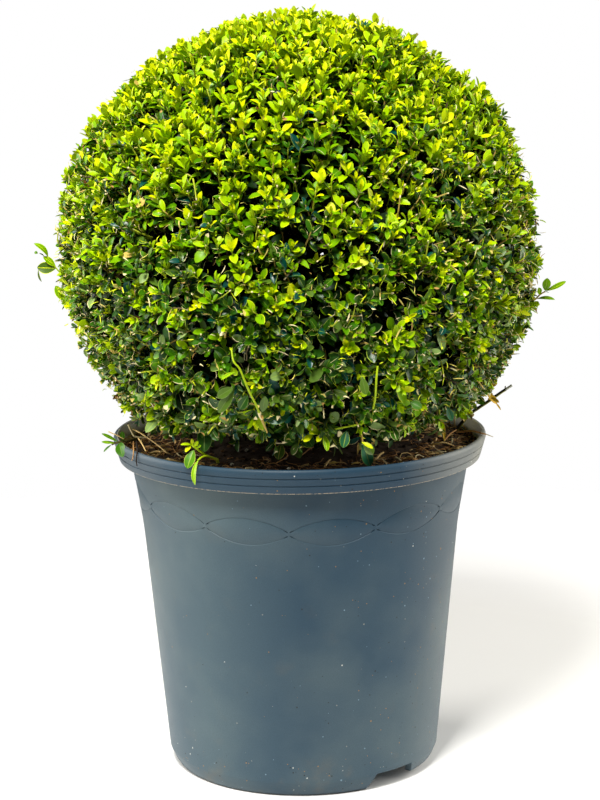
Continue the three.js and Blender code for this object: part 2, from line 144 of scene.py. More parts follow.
def mesh_piece(name, points, faces, materials, finish=None, smooth=True):
    """A mesh from points in millimetres and faces that all have the same number of corners."""
    faces = np.asarray(faces, dtype=np.int32)
    mesh = bpy.data.meshes.new(name)
    mesh.vertices.add(len(points))
    mesh.vertices.foreach_set("co", (np.asarray(points) * MILLIMETRE).astype(np.float32).ravel())
    mesh.loops.add(faces.size)
    mesh.loops.foreach_set("vertex_index", faces.ravel())
    mesh.polygons.add(len(faces))
    mesh.polygons.foreach_set("loop_start", np.arange(0, faces.size, faces.shape[1], dtype=np.int32))
    mesh.polygons.foreach_set("use_smooth", np.full(len(faces), smooth))
    for material in materials:
        mesh.materials.append(material)
    if finish is not None:
        mesh.polygons.foreach_set("material_index", np.asarray(finish, dtype=np.int32))
    mesh.update(calc_edges=True)
    return put(name, mesh)


def fill(tree, node, sockets):
    """Sets or links a node's sockets by name or number."""
    for socket, value in sockets.items():
        if isinstance(value, bpy.types.NodeSocket):
            tree.links.new(value, node.inputs[socket])
        else:
            node.inputs[socket].default_value = value


def place_node(tree, kind, sockets=None, **settings):
    """Adds a shader node with its settings and sockets."""
    placed = tree.nodes.new("ShaderNode" + kind)
    for setting, value in settings.items():
        setattr(placed, setting, value)
    fill(tree, placed, sockets or {})
    return placed


def math_of(tree, operation, *values):
    return place_node(tree, "Math", dict(enumerate(values)), operation=operation).outputs[0]


def times(tree, product, *factors):
    for factor in factors:
        product = math_of(tree, "MULTIPLY", product, factor)
    return product


def scaled(tree, value, factor, plus):
    return math_of(tree, "MULTIPLY_ADD", value, factor, plus)


def ramp_of(tree, value, low, high):
    """The share of the way that a value has gone from low to high."""
    sockets = {"Value": value, "From Min": low, "From Max": high}
    return place_node(tree, "MapRange", sockets, clamp=True).outputs["Result"]


def mix_of(tree, share, first, second, blend="MIX"):
    sockets = {"Factor": share, 6: first, 7: second}
    return place_node(tree, "Mix", sockets, data_type="RGBA", blend_type=blend).outputs[2]


def shaded(tree, colour, shade):
    """A colour made darker or lighter by a number."""
    grey = place_node(tree, "CombineColor", {0: shade, 1: shade, 2: shade}).outputs[0]
    return mix_of(tree, 1.0, colour, grey, "MULTIPLY")


def noise_of(tree, place, scale, detail=3.0, roughness=0.5):
    sockets = {"Vector": place, "Scale": scale, "Detail": detail, "Roughness": roughness}
    return place_node(tree, "TexNoise", sockets).outputs["Fac"]


def parts_of(tree, vector):
    """The x, y and z of a place or a direction."""
    return place_node(tree, "SeparateXYZ", {"Vector": vector}).outputs


def new_finish(name):
    """An empty material, its node tree, its shader and its own place on the piece."""
    material = bpy.data.materials.new(name)
    material.use_nodes = True
    tree = material.node_tree
    place = place_node(tree, "TexCoord").outputs["Object"]
    return material, tree, tree.nodes["Principled BSDF"], place


def set_shader(tree, shader, colour, rough, gloss, height=None, bump=0.0, reach=0.0):
    """Joins up a material: its colour, roughness and gloss, and a relief of some strength and reach."""
    fill(tree, shader, {"Base Color": colour, "Roughness": rough, "Specular IOR Level": gloss})
    if bump:
        relief = place_node(tree, "Bump", {"Height": height, "Strength": bump, "Distance": reach})
        fill(tree, shader, {"Normal": relief.outputs["Normal"]})


def speck_of(tree, place, scale, size, share):
    """Where small specks lie, how many there are set by share, and a random number for each."""
    cells = place_node(tree, "TexVoronoi", {"Vector": place, "Scale": scale})
    dice = place_node(tree, "SeparateColor", {"Color": cells.outputs["Color"]})
    near = math_of(tree, "LESS_THAN", cells.outputs["Distance"], times(tree, dice.outputs[1], size))
    return times(tree, near, math_of(tree, "LESS_THAN", dice.outputs[0], share)), dice.outputs[2]


def pot_finish():
    """Blue-grey plastic, faded in clouds, with fine grain, dust, mud low down and splashed specks. The flanks
    carry a pale dust colour that is also a painted sheen, the inside face of the rim is painted lighter as
    painted light, and a dark line of painted shade with wet soil runs along the inner top edge of the rim at
    the front.
    The heights and sides in it are in metres."""
    material, tree, shader, place = new_finish("pot_plastic")
    side, _, up = parts_of(tree, place)
    cloud = noise_of(tree, place, 7.0, 4.0, 0.55)
    patch = noise_of(tree, place, 31.0, 5.0, 0.6)
    grain = noise_of(tree, place, 1500.0, 2.0, 0.6)
    level = place_node(tree, "VectorMath", {0: place, 1: (1.0, 1.0, 0.0)}, operation="MULTIPLY")
    normal = place_node(tree, "NewGeometry").outputs["Normal"]
    sockets = {0: level.outputs[0], 1: normal}
    outward = place_node(tree, "VectorMath", sockets, operation="DOT_PRODUCT").outputs["Value"]
    low = ramp_of(tree, up, 0.05, 0.0)
    flank = ramp_of(tree, math_of(tree, "ABSOLUTE", side), 0.085, 0.165)
    front = math_of(tree, "SUBTRACT", 1.0, flank)
    # The left flank, where a light grey-green is painted as a painted sheen.
    left = times(tree, ramp_of(tree, side, 0.0, -0.08), ramp_of(tree, side, -0.165, -0.085))
    smear = times(tree, ramp_of(tree, patch, 0.6, 0.76), scaled(tree, flank, 0.3, 0.09))
    band = times(tree, ramp_of(tree, up, 0.2775, 0.2795), 0.75)
    # Dust with painted sheen: the pale dust colour is laid on the flanks seen from the front, more on the
    # right and on the band, and stands for the grey reflection there.
    flank_dust_and_sheen = scaled(tree, ramp_of(tree, side, -0.05, 0.12), 0.43, 0.14)
    flank_dust_and_sheen = times(tree, flank_dust_and_sheen, scaled(tree, band, 0.75, 0.25), scaled(tree, patch, 0.9, 0.65), flank)
    # The inside face of the rim on the flanks, painted near white: dust with painted light.
    inner = times(tree, ramp_of(tree, outward, 0.0, -0.05), ramp_of(tree, up, 0.281, 0.2825), flank)
    # Where the rim's top turns inward at the front: a dark line of painted shade with wet soil.
    lip_soil_and_shade = times(tree, ramp_of(tree, outward, 0.07, -0.01), ramp_of(tree, up, 0.2965, 0.299), front)
    colour = mix_of(tree, ramp_of(tree, cloud, 0.42, 0.7), paint(POT_COLOUR), paint(POT_FADED))
    for share, card in (
        (smear, POT_MUD),
        (times(tree, left, 0.15), POT_LEFT_SHEEN),
        (band, BAND_COLOUR),
        (flank_dust_and_sheen, POT_DUST_AND_SHEEN),
        (times(tree, inner, 0.9), RIM_INSIDE_DUST_AND_LIGHT),
        (times(tree, lip_soil_and_shade, 0.8), LIP_SOIL_AND_SHADE),
        (times(tree, low, ramp_of(tree, patch, 0.55, 0.72), 0.3), POT_MUD),
    ):
        colour = mix_of(tree, share, colour, paint(card))
    colour = shaded(tree, colour, scaled(tree, grain, 0.5, 0.75))
    right = scaled(tree, ramp_of(tree, side, -0.06, 0.15), 0.11, 0.03)
    splashed = math_of(tree, "ADD", right, times(tree, low, 0.22))
    for scale, size, amount in ((420.0, 0.3, 1.0), (190.0, 0.2, 0.4)):
        there, kind = speck_of(tree, place, scale, size, times(tree, splashed, amount))
        tone = place_node(tree, "ValToRGB", {"Fac": kind})
        tone.color_ramp.interpolation = "CONSTANT"
        for at, card in SPECKS[2:]:
            tone.color_ramp.elements.new(at)
        for element, (at, card) in zip(tone.color_ramp.elements, SPECKS):
            element.position = at
            element.color = paint(card)
        colour = mix_of(tree, times(tree, there, 0.85), colour, tone.outputs["Color"])
    ledge = math_of(tree, "COMPARE", up, 0.2788, 0.0005)
    crumbs = ramp_of(tree, noise_of(tree, place, 420.0, 3.0, 0.7), 0.4, 0.56)
    colour = mix_of(tree, times(tree, ledge, crumbs, 0.8), colour, paint(LEDGE_CRUMBS))
    sole = times(tree, ramp_of(tree, up, 0.0022, 0.0006), ramp_of(tree, patch, 0.3, 0.45), 0.85)
    colour = mix_of(tree, sole, colour, paint(SOLE_DIRT))
    set_shader(tree, shader, colour, scaled(tree, patch, 0.2, 0.36), 0.22, grain, 0.25, 0.0003)
    return material


def pot_turns():
    """The angles of the pot's upright lines, from the front towards +X, closer where it has edges."""
    turns = set(np.round(np.arange(0, 360, TURN_STEP), 3))
    for k in range(LENS_COUNT):
        node = LENS_START + k * 360 / LENS_COUNT
        turns |= {round((node + d) % 360, 3) for d in (-1.1, -0.55, -0.3, 0, 0.3, 0.55, 1.1)}
    for side in (0, 180):
        for middle, _, *widths in NOTCHES:
            halves = [math.degrees(math.asin(width / 2 / FOOT_RADIUS)) for width in widths]
            turns |= {round((middle + side + s * half) % 360, 3) for half in halves for s in (-1, 1)}
    if len(turns) % 2:
        turns.add(TURN_STEP / 2)
    return np.radians(sorted(turns))


POT_TURNS = pot_turns()


def from_front(radius, turn):
    """The x and y of a place, from its distance to the middle and its angle from the front."""
    return radius * np.sin(turn), -radius * np.cos(turn)


def pot_ring(radius, height):
    radius = np.broadcast_to(radius, POT_TURNS.shape)
    return np.stack([*from_front(radius, POT_TURNS), np.broadcast_to(height, POT_TURNS.shape)], axis=1)


def wall_ring(height, sink=0.0):
    """A ring of the pot's outer wall at one height, or at one height for each turn."""
    heights = (0, FOOT_HEIGHT / 2, FOOT_HEIGHT, BEND_HEIGHT - 6, BEND_HEIGHT + 6, COLLAR_HEIGHT)
    radii = (
        FOOT_RADIUS, FOOT_RADIUS + FOOT_CHAMFER, WALL_FOOT_RADIUS, BEND_RADIUS - 0.5, BEND_RADIUS + 1.1,
        COLLAR_RADIUS,
    )
    return pot_ring(np.interp(height, heights, radii) - sink, height)


def foot_edge():
    """How high the foot's lower edge stands above the ground at each turn."""
    edge = np.zeros_like(POT_TURNS)
    for side in (0, math.pi):
        for middle, height, top, bottom in NOTCHES:
            away = (POT_TURNS - math.radians(middle) - side + math.pi) % (2 * math.pi) - math.pi
            reach = np.abs(np.sin(away)) * FOOT_RADIUS + 1e3 * (np.abs(away) > 1)
            edge = np.maximum(edge, np.interp(reach, (top / 2, bottom / 2), (height, 0)))
    return edge


def lens_rows():
    """Rows that follow the lower and upper edges of the sunk lens shapes."""
    pitch = 2 * math.pi / LENS_COUNT
    share = ((POT_TURNS - math.radians(LENS_START)) % pitch) / pitch
    arc = np.sin(math.pi * share) ** 0.78
    away = np.minimum(share, 1 - share) * pitch * BEND_RADIUS
    sunk = np.interp(away, (0.9, 1.6), (0, 1))
    inside = LENS_DEPTH * sunk
    line = sunk * (0.42 + 2.8 * np.exp(-((away / 2.4) ** 2)))
    bevel = LENS_LINE + 0.43 * sunk
    ring = LENS_MIDDLE + LENS_SIDE_LIFT * np.sin(POT_TURNS) ** 2
    low = ring - LENS_GAP - LENS_DROP * arc
    high = ring + LENS_GAP + LENS_RISE * arc
    start = BEND_HEIGHT + 4
    return [wall_ring(height, sink) for height, sink in (
        (start, 0), (start + 0.5 * (low - 0.6 - start), 0), (low - bevel, 0), (low - LENS_LINE, line),
        (low + LENS_LINE, line), (low + bevel, inside), ((low + high) / 2, inside), (high - bevel, inside),
        (high - LENS_LINE, line), (high + LENS_LINE, line), (high + bevel, 0),
        ((high + UPPER_WALL_STEPS[0]) / 2, 0),
    )]


def wall_faces(rows, sides):
    """Faces with four corners between rows of points that each go once around."""
    ring = np.arange(sides)
    beside = (ring + 1) % sides
    first = np.stack([ring, beside, beside + sides, ring + sides], axis=1)
    return np.concatenate([first + k * sides for k in range(rows - 1)])


def around(sides):
    """Even angles once around."""
    return np.arange(sides) * 2 * math.pi / sides


def closed_shell(rows, ends, turned=False):
    """The points and faces of rows that each go once around, closed by a point at each end."""
    sides = len(rows[0])
    walls = wall_faces(len(rows), sides)
    even = np.arange(0, sides, 2)
    after = (even + 2) % sides
    last = (len(rows) - 1) * sides
    middle = np.full(len(even), last + sides)
    caps = np.concatenate([
        np.stack([middle, after, even + 1, even], axis=1),
        np.stack([middle + 1, last + even, last + even + 1, last + after], axis=1),
    ])
    if turned:
        walls, caps = walls[:, ::-1], caps[:, [0, 3, 2, 1]]
    return np.concatenate([*rows, ends]), np.concatenate([walls, caps])


def make_pot():
    """The shell, row by row: under the floor, down to the foot, up the wall, and inside again."""
    edge = foot_edge()
    foot_inside = WALL_FOOT_RADIUS - 2 * POT_WALL
    inner_foot = np.interp(edge, (0, FLOOR_HEIGHT), (FOOT_RADIUS - FOOT_RING_WIDTH, foot_inside))
    rows = [pot_ring(r, FLOOR_HEIGHT) for r in (*FLOOR_RINGS, foot_inside)]
    rows.append(pot_ring(inner_foot + 0.3, edge + 0.8))
    rows.append(pot_ring(inner_foot + 0.9, edge))
    for step, height in enumerate((0, 0.7, FOOT_HEIGHT / 2, FOOT_HEIGHT - 0.7, FOOT_HEIGHT + 0.3, 16.5, 20)):
        rows.append(wall_ring(np.maximum(height, edge + 0.35 * step), 0.7 if step == 0 else 0))
    rows += [wall_ring(height) for height in WALL_STEPS]
    rows += lens_rows()
    rows += [wall_ring(height) for height in UPPER_WALL_STEPS[1:]]
    band_foot = RIM_RADIUS - BAND_TAPER
    band = [
        (COLLAR_RADIUS + 1.0, COLLAR_HEIGHT), (band_foot - 0.9, COLLAR_HEIGHT),
        (band_foot - 0.1, COLLAR_HEIGHT + 0.4), (band_foot + 0.2, COLLAR_HEIGHT + 1.1),
    ]
    for groove in GROOVES:
        for lift, depth in GROOVE_SHAPE:
            height = groove + lift
            band_radius = np.interp(height, (COLLAR_HEIGHT, POT_HEIGHT - 4), (band_foot, RIM_RADIUS))
            band.append((band_radius - depth, height))
    rows += [pot_ring(radius, height) for radius, height in band + LIP_PROFILE + INSIDE_PROFILE]
    points, faces = closed_shell(rows, [(0, 0, FLOOR_HEIGHT), (0, 0, FLOOR_TOP)])
    return mesh_piece("nursery_pot", points, faces, [pot_finish()])


def drill_drain_holes(pot):
    """Round holes through the floor."""
    sides = 28
    turn = around(sides)
    points, faces = [], []
    for hole in around(DRAIN_COUNT):
        x = DRAIN_CIRCLE * math.cos(hole) + DRAIN_RADIUS * np.cos(turn)
        y = DRAIN_CIRCLE * math.sin(hole) + DRAIN_RADIUS * np.sin(turn)
        low = list(range(len(points), len(points) + sides))
        high = [k + sides for k in low]
        points += [(a, b, z) for z in (FLOOR_HEIGHT - 4, FLOOR_TOP + 4) for a, b in zip(x, y)]
        faces += [low[::-1], high] + [[low[k - 1], low[k], high[k], high[k - 1]] for k in range(sides)]
    mesh = bpy.data.meshes.new("drill")
    mesh.from_pydata((np.array(points) * MILLIMETRE).tolist(), [], faces)
    drill = put("drill", mesh)
    cut = pot.modifiers.new("drain_holes", "BOOLEAN")
    cut.object, cut.operation, cut.solver = drill, "DIFFERENCE", "EXACT"
    done = bpy.data.meshes.new_from_object(pot.evaluated_get(bpy.context.evaluated_depsgraph_get()))
    pot.modifiers.clear()
    pot.data = done
    bpy.data.objects.remove(drill)


pot = make_pot()
drill_drain_holes(pot)
pot.data.set_sharp_from_angle(angle=math.radians(SHARP_FROM))
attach(pot, "root")
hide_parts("pot")

# The potting mix: damp dark peat with wood fibre, filled to a little under the rim and higher in
# the middle. Crumbs, fibres, straws and a few stones lie loose on it.
SOIL_SURFACE = ((0, 297), (34, 297), (82.5, 293), (128.7, 290.5), (160.3, 288))
SOIL_SIDE = ((160.3, 283.5), (147.3, 281.2), (137.7, 222), (119.1, 23.3), (116.1, 20.3), (2, 20.3))
SOIL_REACH = 160.3
SOIL_RINGS = 66
SOIL_SIDES = 264
CRUMB_COUNT = 1500
CRUMB_RING = (30, 129)
FIBRE_COUNT = 1500
FIBRE_RING = (95, 63)
FIBRE_STEPS = 7
FIBRE_REACH = 158.5
STRAW_COUNT = 110
STRAW_RING = (118, 40)
STONE_COUNT = 26


def soil_height(radius):
    return np.interp(radius, *zip(*SOIL_SURFACE))


def soil_relief(x, y):
    """The crumbly surface of the mix at one place."""
    at = Vector((x, y, 0))
    coarse = noise.noise(at / 19) * 1.5 + noise.noise(at / 7 + Vector((9, 2, 4))) * 1.3
    fine = abs(noise.noise(at / 2.6)) * 1.1
    radius = math.hypot(x, y)
    edge = max(0.0, radius - 155) / 5
    return float(soil_height(radius)) + coarse + fine - 1.4 - 1.6 * edge**2


def soil_relief_at(x, y):
    return np.array([soil_relief(a, b) for a, b in zip(x, y)])


def mottle_group():
    """Uneven colour: the given colour made lighter and darker in clouds of one size."""
    group = bpy.data.node_groups.new("mottle", "ShaderNodeTree")
    for name, way, kind in (
        ("Colour", "INPUT", "Color"), ("Scale", "INPUT", "Float"), ("Strength", "INPUT", "Float"),
        ("Colour", "OUTPUT", "Color"), ("Height", "OUTPUT", "Float"),
    ):
        group.interface.new_socket(name, in_out=way, socket_type="NodeSocket" + kind)
    given = group.nodes.new("NodeGroupInput")
    result = group.nodes.new("NodeGroupOutput")
    place = place_node(group, "TexCoord").outputs["Object"]
    cloud = noise_of(group, place, given.outputs["Scale"], 3.0, 0.6)
    shade = scaled(group, math_of(group, "SUBTRACT", cloud, 0.5), given.outputs["Strength"], 1.0)
    fill(group, result, {"Colour": shaded(group, given.outputs["Colour"], shade), "Height": cloud})
    return group


MOTTLE = mottle_group()


def mottled_finish(name, card, rough, scale, strength, bump=0.0, under=None, gloss=0.2):
    """A material of one uneven colour; under gives the colour that the back of a leaf has."""
    material, tree, shader, _ = new_finish(name)
    sockets = {"Colour": paint(card), "Scale": scale, "Strength": strength}
    mottle = place_node(tree, "Group", sockets, node_tree=MOTTLE)
    colour = mottle.outputs["Colour"]
    if under:
        back = place_node(tree, "NewGeometry").outputs["Backfacing"]
        colour = mix_of(tree, back, colour, paint(under))
    set_shader(tree, shader, colour, rough, gloss, mottle.outputs["Height"], bump, 0.0006)
    return material


def mottled_finishes(*rows):
    return [mottled_finish(*row) for row in rows]


def make_soil():
    """The crumbly top and then the sides and the floor of the mix, inside the pot."""
    turn = around(SOIL_SIDES)
    x, y = from_front((SOIL_REACH * np.linspace(0.004, 1, SOIL_RINGS) ** 0.8)[:, None], turn)
    rows = [np.stack([*row, soil_relief_at(*row)], axis=1) for row in zip(x, y)]
    for radius, height in SOIL_SIDE:
        rows.append(np.stack([*from_front(radius, turn), np.full(SOIL_SIDES, height)], axis=1))
    points, faces = closed_shell(rows, [(0, 0, soil_relief(0, 0)), (0, 0, SOIL_SIDE[-1][1])], turned=True)
    finish = mottled_finish("potting_mix", "#43362a", 0.92, 420.0, 1.6, 0.9)
    return mesh_piece("potting_mix", points, faces, [finish])


soil = make_soil()
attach(soil, "root")
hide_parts("potting_soil")


def unit(vectors):
    return vectors / np.maximum(np.linalg.norm(vectors, axis=-1, keepdims=True), 1e-9)


def square_to(directions):
    """Some direction square to each of the given ones."""
    upright = np.abs(directions[..., 2:3]) < 0.9
    helper = np.where(upright, np.array((0.0, 0.0, 1.0)), np.array((1.0, 0.0, 0.0)))
    return unit(np.cross(helper, directions))


def rods(paths, radii, sides):
    """Round rods along many paths of the same number of points, closed at both ends."""
    paths = np.asarray(paths, float)
    radii = np.broadcast_to(radii, paths.shape[:2])
    many, steps = radii.shape
    along = unit(np.gradient(paths, axis=1))
    across = np.empty_like(paths)
    across[:, 0] = square_to(along[:, 0])
    for k in range(1, steps):
        kept = across[:, k - 1] - along[:, k] * np.sum(across[:, k - 1] * along[:, k], axis=1, keepdims=True)
        across[:, k] = unit(kept)
    over = np.cross(along, across)
    turn = around(sides)
    spokes = across[:, :, None] * np.cos(turn)[:, None] + over[:, :, None] * np.sin(turn)[:, None]
    points = (paths[:, :, None] + radii[:, :, None, None] * spokes).reshape(-1, 3)
    wall = wall_faces(steps, sides)
    last = (steps - 1) * sides
    caps = [(0, sides - 1 - k, sides - 2 - k) for k in range(sides - 2)]
    caps += [(last, last + k + 1, last + k + 2) for k in range(sides - 2)]
    faces = np.concatenate([wall[:, [0, 1, 2]], wall[:, [0, 2, 3]], caps])
    offsets = np.arange(many)[:, None, None] * steps * sides
    return points, (faces[None] + offsets).reshape(-1, 3), len(faces)


def lie_on_soil(random, count, length, radius, turn, lift):
    """Curved paths that lie on the mix: radius and turn say where each begins."""
    heading = random.random(count) * 2 * math.pi
    x, y = from_front(radius, turn)
    curl = random.normal(0, 0.35, count)
    path = []
    for k in range(FIBRE_STEPS):
        back = np.minimum(1, FIBRE_REACH / np.maximum(np.hypot(x, y), 1))
        x, y = x * back, y * back
        height = soil_relief_at(x, y) + 0.5 + lift * math.sin(math.pi * k / (FIBRE_STEPS - 1))
        path.append(np.stack([x, y, height], axis=1))
        heading = heading + curl + random.normal(0, 0.22, count)
        x = x + np.cos(heading) * length / FIBRE_STEPS
        y = y + np.sin(heading) * length / FIBRE_STEPS
    return np.stack(path, axis=1)


def make_crumbs(random):
    """Loose crumbs of peat and bark, and a few small stones."""
    ball = bmesh.new()
    bmesh.ops.create_icosphere(ball, subdivisions=1, radius=1.0)
    corners = np.array([v.co for v in ball.verts])
    faces = np.array([[v.index for v in f.verts] for f in ball.faces])
    ball.free()
    count = CRUMB_COUNT + STONE_COUNT
    crumb_size = 0.5 + 1.7 * random.random(CRUMB_COUNT) ** 2.2
    size = np.concatenate([crumb_size, 1.1 + 1.5 * random.random(STONE_COUNT)])
    radius = CRUMB_RING[0] + CRUMB_RING[1] * np.sqrt(random.random(count))
    x, y = from_front(radius, random.random(count) * 2 * math.pi)
    shape = corners[None] * (0.7 + 0.6 * random.random((count, len(corners), 1)))
    shape = shape * (0.6 + 0.7 * random.random((count, 1, 3)))
    middle = np.stack([x, y, soil_relief_at(x, y) + 0.3 * size], axis=1)
    points = middle[:, None] + shape * size[:, None, None]
    all_faces = faces[None] + np.arange(count)[:, None, None] * len(corners)
    kind = np.where(random.random(count) < 0.25, 1, 0)
    kind[CRUMB_COUNT:] = 2 + (random.random(STONE_COUNT) < 0.5)
    kinds = np.repeat(kind, len(faces))
    finishes = mottled_finishes(
        ("peat_crumb", "#33271d", 0.95, 500.0, 0.9),
        ("bark_crumb", "#745636", 0.85, 500.0, 0.9),
        ("grit", "#8d8775", 0.7, 300.0, 0.5),
        ("pale_grit", "#b9b4a2", 0.65, 300.0, 0.4),
    )
    return mesh_piece("soil_crumbs", points.reshape(-1, 3), all_faces.reshape(-1, 3), finishes, kinds, False)


def make_fibres(random):
    """Wood fibres and root hairs lying on the mix, and thicker straws near the sides."""
    fine = FIBRE_COUNT
    reach = FIBRE_RING[0] + FIBRE_RING[1] * random.random(fine) ** 0.7
    turn = random.random(fine) * 2 * math.pi
    length = 6 + 22 * random.random(fine) ** 2
    paths = lie_on_soil(random, fine, length, reach, turn, (0.4 + 2.2 * random.random(fine)) * length / 24)
    thick = (0.17 + 0.26 * random.random(fine)[:, None]) * np.array((0.6, 1, 1, 1, 1, 0.8, 0.5))
    points, faces, each = rods(paths, thick, 3)
    kind = np.repeat(random.choice(3, fine, p=(0.35, 0.47, 0.18)), each)
    many = STRAW_COUNT
    side = np.where(random.random(many) < 0.55, -0.95, 1.05) + random.normal(0, 0.34, many)
    side = np.where(random.random(many) < 0.35, side + math.pi, side)
    reach = STRAW_RING[0] + STRAW_RING[1] * random.random(many)
    length = 9 + 26 * random.random(many)
    paths = lie_on_soil(random, many, length, reach, side, 1 + 4 * random.random(many))
    thick = np.repeat(0.35 + 0.45 * random.random(many)[:, None], FIBRE_STEPS, axis=1)
    straws, straw_faces, each = rods(paths, thick, 4)
    kinds = np.concatenate([kind, np.repeat(random.choice((1, 2, 3), many, p=(0.3, 0.4, 0.3)), each)])
    finishes = mottled_finishes(
        ("dark_fibre", "#6a4c30", 0.85, 300.0, 0.6),
        ("brown_fibre", "#b88a54", 0.8, 300.0, 0.6),
        ("straw", "#d8b878", 0.7, 300.0, 0.6),
        ("pale_straw", "#dccb9c", 0.65, 300.0, 0.5),
    )
    faces = np.concatenate([faces, straw_faces + len(points)])
    return mesh_piece("soil_fibres", np.concatenate([points, straws]), faces, finishes, kinds)


soil_random = np.random.default_rng(511)
for loose in (make_crumbs(soil_random), make_fibres(soil_random)):
    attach(loose, "root")

# The stem and boughs: a short gnarled trunk that flares on the mix and forks inside the ball into
# boughs and branches, all of hard grey-tan wood with ridged bark.
STEM_FOOT = 297.3
STEM_HEIGHT = 18.0
STEM_RADIUS = 13.0
FLARE_RADIUS = 25.0
STEM_LEAN = np.array((5.0, -3.0))
FLARE_LOBES = 5
LOBE_DEPTH = 0.14
BALL_HEIGHT = 459.0
BALL_RADIUS = 213.0
BALL_CENTRE = np.array((0.0, 0.0, BALL_HEIGHT))
FORK_HEIGHT = 352.0
TRUNK_THICKNESS = (13.2, 11)
# Boughs, branches and sprigs: how many, the angle from the top that they reach down to, how far out
# they go, their sway, their points, their radius at root and tip, and their sides.
LIMBS = (
    (11, 118, 92, 7, 12, 7.5, 4, 14),
    (66, 124, 140, 5, 7, 4.2, 2.2, 8),
    (396, 127, 168, 3, 5, 2.3, 1.3, 5),
)
SPRIG_SIDES = LIMBS[-1][-1]
UP = np.array((0.0, 0.0, 1.0))
GOLDEN_ANGLE = math.pi * (3 - math.sqrt(5))


def ridged(points, middles, depth, scale):
    """Moves points in and out from the middle of their limb, as bark ridges that run along it."""
    out = unit(points - middles)
    relief = []
    for p in points.tolist():
        ridge = noise.noise(Vector((p[0] / scale, p[1] / scale, p[2] / (4 * scale))))
        relief.append(ridge + 0.4 * noise.noise(Vector(p) / (0.35 * scale)))
    return points + out * depth * np.array(relief)[:, None]


def make_stem():
    """The trunk, in rows from its lobed flare up."""
    sides, steps = 60, 34
    turn = around(sides)
    rows, middles = [], []
    for share in np.arange(steps) / (steps - 1):
        radius = STEM_RADIUS + (FLARE_RADIUS - STEM_RADIUS) * (1 - share) ** 2.4
        radius = radius * (1 + LOBE_DEPTH * (1 - share) ** 1.6 * np.cos(FLARE_LOBES * turn))
        middle = np.array((*STEM_LEAN * share, STEM_FOOT + STEM_HEIGHT * share))
        row = np.stack([radius * np.cos(turn), radius * np.sin(turn), np.zeros(sides)], axis=1)
        rows.append(middle + row)
        middles.append(np.repeat(middle[None], sides, axis=0))
    rows = ridged(np.concatenate(rows), np.concatenate(middles), 1.3, 5.0).reshape(steps, sides, 3)
    points, faces = closed_shell(rows, [(0, 0, STEM_FOOT), (*STEM_LEAN, STEM_FOOT + STEM_HEIGHT)])
    return mesh_piece("stem_bark", points, faces, [mottled_finish("bark", "#6b5a3f", 0.85, 260.0, 0.9, 0.8)])


stem = make_stem()
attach(stem, "root")
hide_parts("main_stem")


def golden_spread(count, lowest, random, shake=0.1):
    """Directions spread evenly over the ball by the golden angle, from its top down to an angle."""
    index = np.arange(count)
    rise = 1 - ((index + 0.5) / count) * (1 - math.cos(math.radians(lowest)))
    flat = np.sqrt(1 - rise * rise)
    turn = (index + shake * (random.random(count) - 0.5)) * GOLDEN_ANGLE
    return np.stack([flat * np.cos(turn), flat * np.sin(turn), rise], axis=1)


def bent_paths(starts, ends, sway, random, steps):
    """Paths from starts to ends that sag to one side in the middle."""
    share = np.linspace(0, 1, steps)[None, :, None]
    swing = random.normal(0, 1, starts.shape) * sway
    line = starts[:, None] + (ends - starts)[:, None] * share
    return line + swing[:, None] * (share * (1 - share) * 4)


def fork(parents, children):
    """Which parent tip each child grows from: the nearest one."""
    away = np.linalg.norm(children[:, None] - parents[None], axis=2)
    return np.argmin(away, axis=1)


def taper(root, tip, count, steps):
    return np.repeat(np.linspace(root, tip, steps)[None], count, axis=0)


def make_boughs(random):
    """The forked wood inside the ball: its own stem, boughs, branches and sprigs."""
    head = np.array((*STEM_LEAN, FORK_HEIGHT))
    foot = np.array((*STEM_LEAN, STEM_FOOT + STEM_HEIGHT + 0.3))
    limbs = [(np.linspace(foot, head, 9)[None], *TRUNK_THICKNESS, 30)]
    tips = [BALL_CENTRE + golden_spread(count, lowest, random) * reach for count, lowest, reach, *_ in LIMBS]
    parents = (head - (0, 0, 6))[None]
    for ends, (_, _, _, sway, steps, root, tip, sides) in zip(tips, LIMBS):
        paths = bent_paths(parents[fork(parents, ends)], ends, sway, random, steps)
        limbs.append((paths, root, tip, sides))
        parents = ends
    points, faces, so_far = [], [], 0
    for paths, root, tip, sides in limbs:
        rod, rod_faces, _ = rods(paths, taper(root, tip, *paths.shape[:2]), sides)
        if sides > SPRIG_SIDES:
            rod = ridged(rod, np.repeat(paths.reshape(-1, 3), sides, axis=0), 0.09 * root, 3.5)
        faces.append(rod_faces + so_far)
        points.append(rod)
        so_far += len(rod)
    bark = mottled_finish("bough_bark", "#6f6146", 0.85, 300.0, 0.9, 0.8)
    return mesh_piece("boughs", np.concatenate(points), np.concatenate(faces), [bark]), parents


wood_random = np.random.default_rng(77)
boughs, SPRIG_TIPS = make_boughs(wood_random)
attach(boughs, "root")
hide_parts("foliage_ball")

